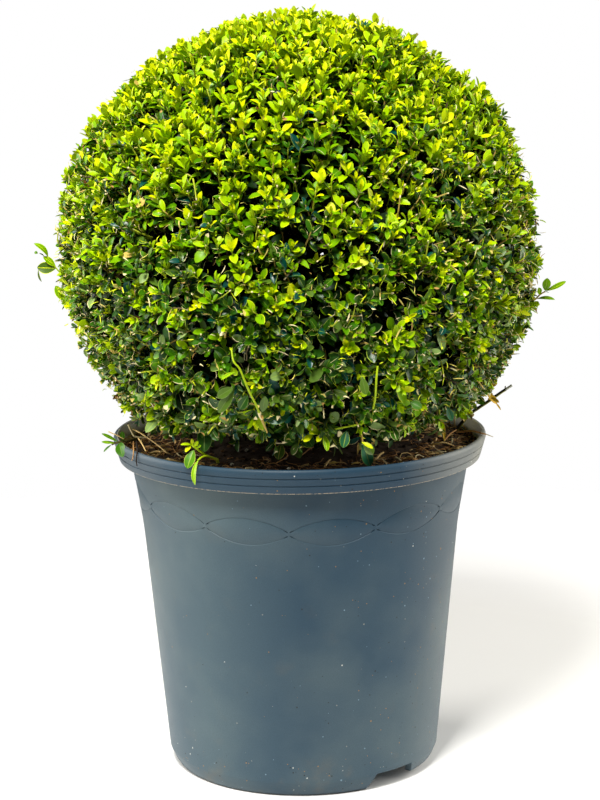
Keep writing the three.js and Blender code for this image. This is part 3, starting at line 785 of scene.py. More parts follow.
# The shoots of the ball: thin green and straw-coloured twigs that grow on from the branches. They
# are spread by the golden angle, lean a little at random and rise to the light, and stand further
# back in hollows between them. Shears left some short bare ends.
SHOOT_COUNT = 4300
SHOOT_LOWEST_ANGLE = 131
LEAN_RANGE = 0.7
RISE_TO_LIGHT = 0.9
SHOOT_BOW = 75
CLIP_TOLERANCE = 4.0
HANGING_COUNT = 300
HANGING_REACH = 158.0
HANGING_FROM = 337
PAIR_PLACES = (0.4, 2.9, 7.0, 12.4, 19.5)
PAIR_SPREADS = (14, 27, 40, 52, 62)
PAIR_SIZES = (0.5, 0.8, 1.0, 1.07, 1.08)
SNAG_COUNT = 1500
BALL_LUMPS = (
    ((0.97, 0, 0.2), 3.0, 0.5), ((0.82, 0, 0.57), 4.5, 0.35), ((0.94, 0, -0.33), 4.5, 0.25),
    ((-0.96, 0, 0.25), 3.5, 0.3), ((-0.75, 0, 0.66), 2.0, 0.3), ((-0.88, 0, -0.47), -14.0, 0.2),
    ((-0.78, 0, -0.62), -9.0, 0.2), ((0.8, 0, -0.6), -4.0, 0.2), ((-0.91, 0, -0.41), -19.0, 0.09),
    ((0.4, 0, 0.91), 7.0, 0.16), ((0.8, 0, 0.6), 5.0, 0.12), ((0.35, -0.2, 0.915), 9.0, 0.1),
)


def rough_of(places, size, seed):
    """A slowly changing number for many places, about -1 to 1."""
    shift = Vector((seed, 2.1 * seed, -seed))
    return np.array([noise.noise(Vector(p) / size + shift) for p in places.tolist()]) * 1.6


def ball_radius(out):
    """How far the ball reaches each way: it is fuller at the right and has a dent low at the left."""
    radius = np.full(len(out), BALL_RADIUS)
    for place, lift, spread in BALL_LUMPS:
        away = 2 * (1 - out @ np.array(place))
        radius += lift * np.exp(-away / spread**2)
    return radius


def fine_zone(out):
    """How finely the shears have broken up the leaves: most on both flanks, from the shoulder down."""
    flank = out[:, 0] ** 2 / np.maximum(out[:, 0] ** 2 + out[:, 1] ** 2, 1e-6)
    return flank * np.clip((0.7 - out[:, 2]) / 0.45, 0, 1)


shoot_random = np.random.default_rng(20417)
shoot_out = golden_spread(SHOOT_COUNT, SHOOT_LOWEST_ANGLE, shoot_random, 0.9)
shoot_hollow = rough_of(shoot_out * BALL_RADIUS, 27, 5) - 0.1 * fine_zone(shoot_out)
shoot_hollow -= 0.55 * np.exp(-((shoot_out[:, 2] + 0.02) / 0.3) ** 2)
there = (shoot_hollow > -0.9) | (shoot_random.random(SHOOT_COUNT) < 0.6)
there &= shoot_random.random(SHOOT_COUNT) > 0.2 * fine_zone(shoot_out)
shoot_out, shoot_hollow = shoot_out[there], shoot_hollow[there]
SHOOTS_LEFT = len(shoot_out)
shoot_rise = shoot_out[:, 2]
shoot_lean = (shoot_random.random((SHOOTS_LEFT, 3)) - 0.5) * LEAN_RANGE
shoot_aim = unit(shoot_out + shoot_lean + UP * (RISE_TO_LIGHT * np.clip(shoot_rise + 0.6, 0, 1.2))[:, None])
shoot_swell = rough_of(shoot_out * BALL_RADIUS, 55, 3)
shoot_depth = 8.0 + 12 * shoot_random.random(SHOOTS_LEFT) ** 1.4 + 7 * np.clip(-0.4 - shoot_hollow, 0, 1)
shoot_depth -= 1.5 * fine_zone(shoot_out)
shoot_reach = ball_radius(shoot_out) - shoot_depth + 2.2 * shoot_swell
shoot_tip = BALL_CENTRE + shoot_out * shoot_reach[:, None]

hang_turn = np.arange(HANGING_COUNT) * GOLDEN_ANGLE
hang_radius = HANGING_REACH * np.sqrt((np.arange(HANGING_COUNT) + 0.5) / HANGING_COUNT)
hang_flat = np.stack([np.cos(hang_turn), np.sin(hang_turn), np.zeros(HANGING_COUNT)], axis=1)
hang_drop = 6 + 16 * shoot_random.random(HANGING_COUNT)
hang_tip = hang_flat * hang_radius[:, None] + UP * (HANGING_FROM - hang_drop)[:, None]
hang_aim = unit(hang_flat * 0.55 - UP + (shoot_random.random((HANGING_COUNT, 3)) - 0.5) * 1.3)

shoot_out = np.concatenate([shoot_out, unit(hang_flat * 0.5 - UP)])
shoot_aim = np.concatenate([shoot_aim, hang_aim])
shoot_tip = np.concatenate([shoot_tip, hang_tip])
shoot_count = len(shoot_tip)
shoot_hangs = np.arange(shoot_count) >= SHOOTS_LEFT
shoot_vigour = 0.8 + 0.45 * shoot_random.random(shoot_count)


def along_shoot(down):
    """The point that lies some way down each shoot from its tip, and the shoot's run there."""
    bow = (shoot_out - shoot_aim) / SHOOT_BOW
    place = shoot_tip - shoot_aim * down[:, None] - bow * (down**2)[:, None] / 2
    return place, unit(shoot_aim + bow * down[:, None])


def make_twigs(random):
    """The shoots, the thin wood that joins each to the nearest branch tip, and the sheared ends."""
    steps = (34.0, 20.0, 9.0, 0.0)
    shoot = np.stack([along_shoot(s * shoot_vigour)[0] for s in steps], axis=1)
    points, faces, each = rods(shoot, np.array((1.0, 0.85, 0.65, 0.42)) * shoot_vigour[:, None], 4)
    nearest = SPRIG_TIPS[fork(SPRIG_TIPS, shoot[:, 0])]
    joints = bent_paths(nearest, shoot[:, 0], 2.0, random, 3)
    wood, wood_faces, wood_each = rods(joints, taper(1.3, 1.0, shoot_count, 3), 3)
    kinds = np.repeat(random.choice(3, shoot_count, p=(0.55, 0.28, 0.17)), each)
    low = shoot_out[:, 2] < 0.45
    host = random.choice(np.flatnonzero(low & ~shoot_hangs), SNAG_COUNT, replace=False)
    away = unit(shoot_out[host] + random.normal(0, 0.45, (SNAG_COUNT, 3)) + UP * 0.35)
    reach = ball_radius(shoot_out[host]) - 5 - 14 * random.random(SNAG_COUNT) ** 1.3
    end = BALL_CENTRE + shoot_out[host] * reach[:, None]
    length = 8 + 16 * random.random(SNAG_COUNT)
    stand = np.stack([end - away * (length * (1 - s))[:, None] for s in (0.0, 0.5, 0.9, 1.0)], axis=1)
    stand[:, 1] += random.normal(0, 0.8, (SNAG_COUNT, 3))
    thick = (0.35 + 0.4 * random.random(SNAG_COUNT))[:, None] * np.array((1.15, 1.05, 1.0, 1.1))
    snags, snag_faces, snag_each = rods(stand, thick, 5)
    snag_kind = np.repeat(random.choice(3, SNAG_COUNT, p=(0.6, 0.25, 0.15))[:, None], snag_each, axis=1)
    for cut_end in (slice(10, 15), slice(25, 30), slice(33, None)):
        snag_kind[:, cut_end] = 3
    wood_kinds = np.concatenate([np.full(shoot_count * wood_each, 2), snag_kind.ravel()])
    finishes = mottled_finishes(
        ("young_stem", "#a9b42c", 0.5, 200.0, 0.4),
        ("ripe_stem", "#b39a4c", 0.6, 200.0, 0.5),
        ("grey_stem", "#5d5138", 0.8, 200.0, 0.6),
        ("sheared_end", "#e2d3a0", 0.7, 200.0, 0.4),
    )
    wood_faces = np.concatenate([wood_faces, snag_faces + len(wood)])
    return (
        mesh_piece("twigs", points, faces, finishes, kinds),
        mesh_piece("twigs_inside", np.concatenate([wood, snags]), wood_faces, finishes, wood_kinds),
    )


def join_up(pieces, node):
    """Pieces that ride on the one body and stand in for a node, if one is named."""
    for piece in pieces:
        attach(piece, "root")
        if node:
            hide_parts(node)


twigs, twigs_inside = make_twigs(shoot_random)
join_up([twigs, twigs_inside], "foliage_ball")

# The leaves of the ball: small, leathery and spoon-shaped, in opposite pairs that each turn a right
# angle from the pair above. Shoots of this year are yellow-green, those of last year dark.
LEAF_TINTS = {
    "new": ("#ccd600", "#b4c80c", 0.42, 0.15),
    "lime": ("#a0c400", "#98b60c", 0.38, 0.17),
    "fresh": ("#74a400", "#84a414", 0.36, 0.2),
    "green": ("#4c8000", "#668a20", 0.34, 0.24),
    "mid": ("#336404", "#507424", 0.33, 0.27),
    "deep": ("#1e4604", "#395626", 0.33, 0.3),
    # Dark sea-green of old leaves, with a painted sheen of reflected light in it.
    "blue": ("#06483c", "#34584a", 0.32, 0.34),
    "olive": ("#4d6a1c", "#5e7530", 0.36, 0.28),
    # Painted shade: the shade and inner colours are near black and go to leaves by how deep they stand in the
    # ball.
    "shade": ("#0c2405", "#152e0c", 0.4, 0.2),
    "inner": ("#060f03", "#0a1606", 0.8, 0.02),
    "straw": ("#c9ab5a", "#bfa35a", 0.7, 0.1),
    "brown": ("#5f3b1a", "#6e4a24", 0.75, 0.1),
    "gold": ("#d8b024", "#cda83c", 0.5, 0.15),
    "pale": ("#7f9a52", "#8fa868", 0.42, 0.2),
    # Sea-green with a painted sheen, for a few large single leaves.
    "teal": ("#22603c", "#436a44", 0.34, 0.3),
}
# Edge colours. Lime, pale and soft are pale leaf margins that also carry a painted highlight; cream, tan and
# straw are dry sheared edges, and cream on the flanks is also a painted highlight.
EDGE_TINTS = {
    "lime": "#dcea24",
    "pale": "#9cb43c",
    "cream": "#e8dba6",
    "tan": "#b08a4c",
    "straw": "#cfbe62",
    "soft": "#647c3c",
}
BLADE_LENGTH = 13.6
BLADE_WIDTH = 0.5
YOUNG_FROM = 0.75
TINT_STEPS = (0.84, 0.66, 0.5, 0.33, 0.17)
SHOWN_DEPTH = 26
# Depths under the ball's surface from which leaves get painted shade.
SHADE_DEPTH = 25
PAINTED_BLACK_DEPTH = 33
PIECE_LIMIT = 195000

leaf_finishes = [
    mottled_finish("leaf_" + name, face, rough, 240.0, 0.4, 0.25, under, gloss)
    for name, (face, under, rough, gloss) in LEAF_TINTS.items()
]
leaf_finishes += [mottled_finish("edge_" + name, card, 0.55, 240.0, 0.3) for name, card in EDGE_TINTS.items()]
FIRST_EDGE = len(LEAF_TINTS)


def tints_of(*names):
    """The numbers of the leaf colours with these names."""
    return [list(LEAF_TINTS).index(name) for name in names]


def blade_outline(share):
    """Half the width of a leaf at a share of its length, where the widest place is 1."""
    return np.sin(math.pi * np.clip(share, 0, 1) ** 1.3) ** 0.62


def blade_shape(highlight_rim_side=None, ribbed=False, cut=False):
    """A leaf's corners as (side, share of length, share of width), and its faces with their kind:
    0 is the blade and 1 its rim, rib or cut end. The rim is a pale margin with a painted highlight."""
    corners = [(0, 0.0, 0), (0, 1.0, 0), (0, 0.38, 0), (0, 0.72, 0)]
    faces = []
    if ribbed:
        corners += [(s, t, 0.045) for s in (-1, 1) for t in (0.38, 0.72)]
        faces += [(f, 1) for f in ((0, 6, 4), (4, 6, 5), (6, 7, 5), (5, 7, 1))]
    for side in (-1, 1):
        first = len(corners)
        corners += [(side, t, 1) for t in (0.2, 0.46, 0.72, 0.92)]
        a, b, c, d = range(first, first + 4)
        low, high = ((4, 5) if side < 0 else (6, 7)) if ribbed else (2, 3)
        edge = []
        if side == highlight_rim_side:
            corners += [(side, 0.47, 0.86), (side, 0.72, 0.85), (side, 0.9, 0.7)]
            e, f, g = range(first + 4, first + 7)
            own = [(0, a, low), (a, e, low), (low, e, high), (e, f, high), (f, g, high), (g, 1, high)]
            edge = [(a, b, e), (b, c, f), (b, f, e), (c, d, g), (c, g, f), (d, 1, g)]
        else:
            own = [(0, a, low), (a, b, low), (low, b, high), (b, c, high), (c, d, high), (d, 1, high)]
            if cut:
                corners[-2:] = [(side, 0.94, 1), (side, 1.0, 1)]
                own, edge = own[:4], own[4:]
        both = [(f, 0) for f in own] + [(f, 1) for f in edge]
        faces += [(f[::-1] if side < 0 else f, kind) for f, kind in both]
    return corners, faces


def sliver_shape():
    """A narrow curled strip: what is left of a leaf that the shears have sliced along its edge."""
    corners = [(side, t, 1) for t in (0.05, 0.3, 0.55, 0.8, 0.97) for side in (-1, 1)]
    faces = [(f, 0) for k in range(0, 8, 2) for f in ((k, k + 1, k + 2), (k + 1, k + 3, k + 2))]
    return corners, faces


def lay_leaves(name, shape, leaves):
    """Joined leaves of one shape, in pieces that each stay under the limit. Leaves are whole, and
    have the first edge colour, unless their rows say otherwise."""
    corners, shape_faces = shape
    side, share, part = np.array(corners, float).T
    corner_faces = np.array([f for f, _ in shape_faces])
    is_edge = np.array([k for _, k in shape_faces]) == 1
    per_piece = PIECE_LIMIT // len(corner_faces)
    count = len(leaves["start"])
    leaves = {"kept": np.ones(count), "edge": np.zeros(count, int)} | leaves
    pieces = []
    for first in range(0, count, per_piece):
        some = {k: v[first : first + per_piece] for k, v in leaves.items()}
        length, width, bend, fold = (some[k][:, None] for k in ("length", "width", "bend", "fold"))
        at = share[None] * some["kept"][:, None]
        half = 0.5 * width * length * blade_outline(at) * part
        safe = np.where(np.abs(bend) < 1e-3, 1e-3, bend)
        forward = length * np.sin(bend * at) / safe
        lift = -length * (1 - np.cos(bend * at)) / safe
        x = side[None] * half * np.cos(fold)
        z = lift + half * np.sin(fold)
        along = some["along"]
        across = unit(np.cross(along, some["facing"]))
        up = np.cross(across, along)
        points = some["start"][:, None] + x[..., None] * across[:, None]
        points = points + forward[..., None] * along[:, None] + z[..., None] * up[:, None]
        faces = corner_faces[None] + (np.arange(len(length)) * len(corners))[:, None, None]
        finish = np.where(is_edge[None], FIRST_EDGE + some["edge"][:, None], some["tint"][:, None])
        label = f"{name}_{len(pieces) + 1}"
        points, faces = points.reshape(-1, 3), faces.reshape(-1, 3)
        pieces.append(mesh_piece(label, points, faces, leaf_finishes, finish.ravel()))
    return pieces


def grow_leaves(random):
    """All the leaves of the ball as rows: where each starts, how it lies, its size and its age."""
    count = shoot_count
    side_turn = random.random(count) * math.pi
    height = shoot_out[:, 2]
    fine = fine_zone(shoot_out)
    swell = rough_of(shoot_out * BALL_RADIUS, 31, 11)
    young_share = 0.57 + 0.6 * height.clip(0) + 0.22 * height.clip(None, 0) + 0.28 * swell - 0.1 * fine
    young = (random.random(count) < np.clip(young_share, 0.1, 0.97)) & ~shoot_hangs
    young |= shoot_hangs & (random.random(count) < 0.1)
    youth = np.where(young, 0.85 + 0.15 * height, 0.3 + 0.1 * height) + random.normal(0, 0.09, count)
    size = 1.0 + 0.22 * (~young & (height < 0.1)) * (1 - fine) - 0.06 * fine + 0.08 * (1 - fine) * young
    size = size * (0.66 + 0.46 * random.random(count))
    rows = []
    for pair, (place_down, pair_spread, grown) in enumerate(zip(PAIR_PLACES, PAIR_SPREADS, PAIR_SIZES)):
        place, run = along_shoot(place_down * shoot_vigour * size * (0.9 + 0.2 * random.random(count)))
        first = square_to(run)
        turn = side_turn + pair * math.pi / 2 + random.normal(0, 0.14, count)
        side = first * np.cos(turn)[:, None] + np.cross(run, first) * np.sin(turn)[:, None]
        spread = math.radians(pair_spread) + random.normal(0, 0.15, count) + 0.16 * ~young
        for out in (side, -side):
            lean = spread + random.normal(0, 0.12, count)
            along = unit(run * np.cos(lean)[:, None] + out * np.sin(lean)[:, None] + UP * 0.08)
            facing = run - along * np.sum(run * along, axis=1, keepdims=True)
            rows.append({
                "start": place + along * 0.5,
                "along": along,
                "facing": unit(facing + UP * 0.18 + random.normal(0, 0.2, (count, 3))),
                "length": BLADE_LENGTH * size * grown * (0.84 + 0.3 * random.random(count)),
                "width": BLADE_WIDTH * (0.86 + 0.28 * random.random(count)),
                "bend": random.normal(0.2 + 0.1 * pair, 0.32, count),
                "fold": random.normal(0.36, 0.16, count),
                "youth": youth - 0.15 * max(0, pair - 0.5) + random.normal(0, 0.06, count),
                "pair": np.full(count, pair),
                "height": height,
                "fine": fine,
            })
    return {k: np.concatenate([r[k] for r in rows]) for k in rows[0]}


def clip_leaves(leaves, random):
    """Leaves keep to the ball's space: the shears cut the old ones, and others there are left out."""
    tip = leaves["start"] + leaves["along"] * leaves["length"][:, None]
    from_middle = np.linalg.norm(leaves["start"] - BALL_CENTRE, axis=1)
    reach = np.linalg.norm(tip - BALL_CENTRE, axis=1)
    surface = ball_radius(unit(tip - BALL_CENTRE))
    limit = surface - 1 + 2.5 * random.normal(0, 1, len(reach)).clip(-1.5, 1.5)
    limit += 3.5 * (leaves["youth"] > 0.7) - 2.5 * leaves["fine"] * random.random(len(reach))
    kept = np.clip((limit - from_middle) / np.maximum(reach - from_middle, 1e-3), 0, 1)
    kept = np.where(reach > limit, kept, 1.0)
    young = leaves["youth"] >= YOUNG_FROM
    spared = young & (reach < surface + CLIP_TOLERANCE)
    radius = np.hypot(tip[:, 0], tip[:, 1])
    above_rim = tip[:, 2] > POT_HEIGHT + 4
    inside_rim = (radius < BAND_INSIDE - 8) & (tip[:, 2] > soil_height(np.minimum(radius, SOIL_REACH)) + 2)
    stays = ((reach <= limit) | ~young) & (kept > 0.35) | spared
    leaves["kept"] = np.where(spared, 1.0, kept)
    leaves["depth"] = surface - from_middle
    return {k: v[stays & (above_rim | inside_rim)] for k, v in leaves.items()}


def tint_leaves(leaves, random):
    """Deals out the colours: by age and place, with a few olive, straw and brown ones, and some old ones in a
    dark sea-green that is their own colour with a painted sheen.
    """
    count = len(leaves["start"])
    fine, height = leaves["fine"], leaves["height"]
    tint = np.sum(leaves["youth"][:, None] < np.array(TINT_STEPS), axis=1)
    names = ("deep", "blue", "olive", "shade", "inner", "straw", "brown", "pale")
    deep, blue, olive, shade, inner, straw, brown, pale = tints_of(*names)
    dice = random.random(count)
    old = tint >= deep - 1
    # Some old leaves take the dark sea-green with a painted sheen.
    tint[old & (dice < 0.15 - 0.1 * fine)] = blue
    tint[old & (dice > 0.8) & (height < 0.2)] = olive
    # Painted shade: leaves deep under the surface get the near-black shade and inner colours.
    hidden = leaves["depth"] + 4 * random.normal(0, 1, count)
    tint[(hidden > SHADE_DEPTH) & (tint >= 3)] = shade
    tint[hidden > PAINTED_BLACK_DEPTH] = inner
    lit = hidden < SHOWN_DEPTH
    tint[lit & (random.random(count) < 0.001 + 0.006 * fine)] = straw
    tint[lit & (random.random(count) < 0.0015)] = brown
    tint[lit & old & (random.random(count) < 0.1 * fine + 0.05 * (height < -0.2))] = pale
    # Rims: pale margins with a painted highlight, lime on young leaves; cream, more on the flanks and low
    # down, is part dry edge and part painted highlight; cut leaves get dry edge colours.
    edge = np.where(tint <= 2, 0, 1)
    cream = random.random(count) < 0.18 + 0.25 * fine + 0.15 * (height < -0.1)
    edge[cream & (tint > 2)] = 2
    edge = np.where(leaves["kept"] < 1, random.choice((2, 3, 4), count, p=(0.5, 0.25, 0.25)), edge)
    return leaves | {"tint": tint, "edge": edge}


leaf_random = np.random.default_rng(1903)
ball_leaves = tint_leaves(clip_leaves(grow_leaves(leaf_random), leaf_random), leaf_random)
is_cut = ball_leaves["kept"] < 1
shows = ~is_cut & (ball_leaves["pair"] <= 3) & (ball_leaves["depth"] < SHOWN_DEPTH)
draw = leaf_random.random(len(is_cut))
is_ribbed = shows & (ball_leaves["youth"] < 0.45) & (draw < 0.3)
# Leaves with a light rim on one side: a pale margin with a painted highlight.
has_left_rim_highlight = shows & ~is_ribbed & (draw > 0.66)
has_right_rim_highlight = shows & ~is_ribbed & ~has_left_rim_highlight & (draw > 0.32)
is_plain = ~(is_cut | is_ribbed | has_left_rim_highlight | has_right_rim_highlight)
for name, shape, chosen in (
    ("leaves_plain", blade_shape(), is_plain),
    ("leaves_rim_highlight_left", blade_shape(highlight_rim_side=-1), has_left_rim_highlight),
    ("leaves_rim_highlight_right", blade_shape(highlight_rim_side=1), has_right_rim_highlight),
    ("leaves_ribbed", blade_shape(ribbed=True), is_ribbed),
    ("leaves_clipped", blade_shape(cut=True), is_cut),
):
    group = {k: v[chosen] for k, v in ball_leaves.items()}
    join_up(lay_leaves(name, shape, group), "foliage_ball")

# Slivers: curled pale strips and dry edges of leaves that the shears have sliced. They stay caught
# among the leaves, most on the flanks and in the lower half.
SLIVER_COUNT = 5200


def grow_slivers(random):
    out = golden_spread(SLIVER_COUNT * 3, SHOOT_LOWEST_ANGLE, random, 5.0)
    weight = 0.25 + 0.55 * np.clip(0.45 - out[:, 2], 0, 0.7) + 0.7 * fine_zone(out)
    out = out[random.random(len(out)) < weight]
    out = out[random.permutation(len(out))[:SLIVER_COUNT]]
    count = len(out)
    place = BALL_CENTRE + out * (ball_radius(out) - 4 - 14 * random.random(count) ** 1.2)[:, None]
    place[:, 2] = np.maximum(place[:, 2], POT_HEIGHT + 16)
    along = unit(out * 0.12 + UP * 0.3 + random.normal(0, 0.6, (count, 3)))
    return {
        "start": place - along * 4,
        "along": along,
        "facing": unit(random.normal(0, 1, (count, 3))),
        "length": 4 + 7 * random.random(count),
        "width": 0.06 + 0.08 * random.random(count),
        "bend": random.normal(0, 2.0, count),
        "fold": random.normal(0, 0.3, count),
        "tint": FIRST_EDGE + random.choice(5, count, p=(0.36, 0.14, 0.2, 0.1, 0.2)),
    }


slivers = lay_leaves("leaf_slivers", sliver_shape(), grow_slivers(leaf_random))
join_up(slivers, "foliage_ball")

# The older leaves deep in the ball: large, set every way and coloured near black as painted shade. They close
# the view through it, so that only this painted shade is seen between the outer leaves.
INNER_COUNT = 5600
INNER_DEPTHS = (118.0, 176.0)
SCREEN = [(0, 0.0, 0), (0, 1.0, 0), (0, 0.5, 0), (-1, 0.3, 1), (-1, 0.75, 1), (1, 0.3, 1), (1, 0.75, 1)]
SCREEN_FACES = [(f, 0) for f in ((0, 2, 3), (2, 4, 3), (2, 1, 4), (0, 5, 2), (2, 5, 6), (2, 6, 1))]


def grow_inner_leaves(random):
    count = INNER_COUNT
    out = golden_spread(count, SHOOT_LOWEST_ANGLE, random, 3.0)
    depth = INNER_DEPTHS[0] + (INNER_DEPTHS[1] - INNER_DEPTHS[0]) * np.sqrt(random.random(count))
    start = BALL_CENTRE + out * depth[:, None]
    start[:, 2] = np.maximum(start[:, 2], 334 + 12 * random.random(count))
    return {
        "start": start,
        "along": unit(out * 0.4 + random.normal(0, 0.7, (count, 3))),
        "facing": unit(out + random.normal(0, 0.45, (count, 3))),
        "length": 17 + 6 * random.random(count),
        "width": 0.62 + 0.12 * random.random(count),
        "bend": random.normal(0.3, 0.3, count),
        "fold": random.normal(0.2, 0.12, count),
        # Painted shade: near-black colours, most of them the darkest.
        "tint": np.where(random.random(count) < 0.12, *tints_of("shade", "inner")),
    }


inner_leaves = lay_leaves("leaves_inside", (SCREEN, SCREEN_FACES), grow_inner_leaves(leaf_random))
join_up(inner_leaves, "foliage_ball")

# The left low shoot: a thin dark green-brown stem that comes out from under the ball, lies over the
# pot's rim and ends outside it in a few narrow young leaves, with a round old one hanging below.
FINE_ROWS = (0.02, 0.08, 0.18, 0.3, 0.42, 0.54, 0.66, 0.77, 0.86, 0.93, 0.985)
FINE_COLUMNS = (-1, -0.9, -0.5, -0.06, 0.06, 0.5, 0.9, 1)
STEM_STEPS = 30
STEM_FINISHES = list(twigs.data.materials) + mottled_finishes(
    ("dark_stem", "#46431a", 0.65, 300.0, 0.8, 0.5),
    ("lime_stem", "#9fb80c", 0.45, 220.0, 0.4, 0.3),
    ("black_root", "#2a2018", 0.85, 300.0, 0.6, 0.5),
) + list(bpy.data.objects["soil_fibres"].data.materials)[1:]
RIPE, GREY, CREAM, DARK, LIME, BLACK, BROWN, STRAW, PALE = range(1, 10)


def fine_blade():
    """A closely made leaf for the few that are seen one by one, with a light rib and a rim that is a pale
    margin with a painted highlight.
    """
    corners = [(0, 0.0, 0)]
    corners += [(math.copysign(1, c), t, abs(c)) for t in FINE_ROWS for c in FINE_COLUMNS]
    corners.append((0, 1.0, 0))
    wide, tip, faces = len(FINE_COLUMNS), len(corners) - 1, []
    for column in range(wide - 1):
        kind = 1 if column in (0, 3, 6) else 0
        faces.append(((0, column + 2, column + 1), kind))
        for row in range(len(FINE_ROWS) - 1):
            a = 1 + row * wide + column
            faces += [((a, a + 1, a + wide + 1), kind), ((a, a + wide + 1, a + wide), kind)]
        last = tip - wide + column
        faces.append(((tip, last, last + 1), kind))
    return corners, faces


def single_leaves(name, rows):
    """Leaves set one by one: base, tip, width, the way the face looks, bend, colour, edge colour."""
    base, tip, width, facing, bend, tint, edge = zip(*rows)
    base, tip, width, facing, half = (np.array(v, float) for v in (base, tip, width, facing, bend))
    half = half[:, None] / 2
    run = unit(tip - base)
    face = unit(facing - run * np.sum(facing * run, axis=1, keepdims=True))
    length = np.linalg.norm(tip - base, axis=1) * (half / np.sin(half))[:, 0]
    return lay_leaves(name, fine_blade(), {
        "start": base,
        "along": run * np.cos(half) + face * np.sin(half),
        "facing": face * np.cos(half) - run * np.sin(half),
        "length": length,
        "width": width / length,
        "bend": 2 * half[:, 0],
        "fold": np.full(len(rows), 0.24),
        "tint": np.array(tints_of(*tint)),
        "edge": np.array([list(EDGE_TINTS).index(name) for name in edge]),
    })


def smooth_path(points):
    """A smooth line through a few points."""
    points = np.array(points, float)
    ends = np.concatenate([2 * points[:1] - points[1:2], points, 2 * points[-1:] - points[-2:-1]])
    at = np.linspace(0, len(points) - 1, STEM_STEPS)
    part = np.minimum(at.astype(int), len(points) - 2)
    t = (at - part)[:, None]
    a, b, c, d = (ends[part + k] for k in range(4))
    return b + 0.5 * t * (c - a + t * (2 * a - 5 * b + 4 * c - d + t * (3 * (b - c) + d - a)))


def single_stems(name, rows, sides=8, finishes=STEM_FINISHES):
    """Stems set one by one: thickness at both ends, finish, and the points they pass through."""
    paths = [smooth_path(points) for _, _, _, points in rows]
    knots = 1 + 0.1 * np.cos(np.linspace(0, 5 * math.pi, STEM_STEPS)) ** 8
    radii = np.array([np.linspace(root, tip, STEM_STEPS) / 2 * knots for root, tip, _, _ in rows])
    points, faces, each = rods(paths, radii, sides)
    return mesh_piece(name, points, faces, finishes, np.repeat([kind for _, _, kind, _ in rows], each))


left_stem = single_stems("low_shoot_left_stem", [
    (2.4, 1.7, DARK, [
        (-112, 62, 291.5), (-116, 34, 297), (-126, 0, 299.6), (-136, -20, 300), (-142, -34, 301),
        (-149.3, -42, 301.2), (-154.2, -46.4, 301.2), (-159.2, -48.8, 300.6), (-163.2, -50, 299.5),
    ]),
])
left_leaves = single_leaves("low_shoot_left_leaves", [
    ((-158, -48.6, 301.6), (-171.3, -54, 310.1), 3.4, (0.3, -0.8, 0.5), 0.3, "green", "pale"),
    ((-159.5, -49, 301), (-171.5, -54.8, 302.9), 3.2, (0, -0.8, 0.6), -0.4, "fresh", "pale"),
    ((-153.9, -46.6, 301.6), (-154.3, -46, 310.2), 4.6, (0.2, -1, 0), 0.3, "mid", "soft"),
    ((-163, -50, 299.4), (-170.2, -52, 293.2), 2.4, (-0.6, -0.7, 0.4), 0.5, "mid", "soft"),
    ((-155.6, -52, 301.4), (-152.2, -68.5, 292.1), 9.6, (-0.3, -0.8, 0.5), 0.95, "mid", "soft"),
])
join_up([left_stem] + left_leaves, "low_shoot_left")

# The front low shoot: a lime-green shoot that rises from the mix at the front left to a tuft of
# tiny leaves over the rim. A broader leaf hangs below the tuft, and a narrow one bends down beside it.
front_stem = single_stems("low_shoot_front_stem", [
    (2.6, 1.7, LIME, [
        (-70, -86, 290), (-70, -102, 296.5), (-71.5, -116, 300.4), (-76.4, -127, 304.7),
        (-82.9, -131, 309.9), (-89, -132.2, 315),
    ]),
    (1.8, 1.4, LIME, [
        (-75.6, -126, 304.2), (-78.8, -134, 306.4), (-81.6, -139.5, 306.6), (-84.4, -142.4, 304.8),
    ]),
    (1.1, 0.9, LIME, [(-89, -132.2, 314.8), (-88.6, -132.6, 318), (-89, -134, 321)]),
])
front_leaves = single_leaves("low_shoot_front_leaves", [
    ((-84, -142, 305.2), (-87.1, -144.4, 284.2), 5.8, (-0.7, -0.7, 0.1), 1.1, "fresh", "lime"),
    ((-88.1, -133.6, 311.6), (-93.6, -140.6, 297.6), 9.6, (-0.25, -1, 0.25), 0.4, "green", "pale"),
    ((-89.1, -132, 315), (-98.9, -137, 316.8), 3.4, (0.1, -0.5, 0.9), 0.8, "lime", "lime"),
    ((-89.4, -132, 315.4), (-89.4, -134, 321.4), 3, (0.2, -1, 0.1), 0.2, "new", "lime"),
    ((-90.4, -132, 314.9), (-94.9, -138, 310.9), 4, (-0.3, -0.8, 0.5), 0.5, "new", "lime"),
    ((-87.7, -132, 314), (-84.4, -133, 319), 3.4, (0, -1, 0.3), 0.3, "lime", "lime"),
    ((-86.4, -131.6, 312.8), (-81.8, -134, 315.4), 3, (0, -0.8, 0.6), 0.3, "fresh", "lime"),
])
join_up([front_stem] + front_leaves, "low_shoot_front")

# The cut stub: what is left of an old shoot, nearly black above and olive below, that leans out over
# the rim. Its cut tip is bleached grey, a nub of a bud stands near it and its foot is torn pale.
STUB_GREY_FROM = 0.1864
STUB_BLACK = "#181a08"
STUB_OLIVE = "#8e8c22"
STUB_GREY = "#b9b9ae"


def stub_finish():
    """Bark that is nearly black above and olive below, and grey from its bleached end on."""
    material, tree, shader, place = new_finish("stub_bark")
    side = parts_of(tree, place)["X"]
    upward = parts_of(tree, place_node(tree, "NewGeometry").outputs["Normal"])["Z"]
    streak = noise_of(tree, place, 320.0, 3.0, 0.6)
    below = ramp_of(tree, scaled(tree, streak, 0.7, upward), 0.3, -0.25)
    colour = mix_of(tree, below, paint(STUB_BLACK), paint(STUB_OLIVE))
    grey = ramp_of(tree, scaled(tree, streak, 0.002, side), STUB_GREY_FROM, STUB_GREY_FROM + 0.0012)
    colour = mix_of(tree, grey, colour, paint(STUB_GREY))
    set_shader(tree, shader, colour, 0.6, 0.3, streak, 0.6, 0.0005)
    return material


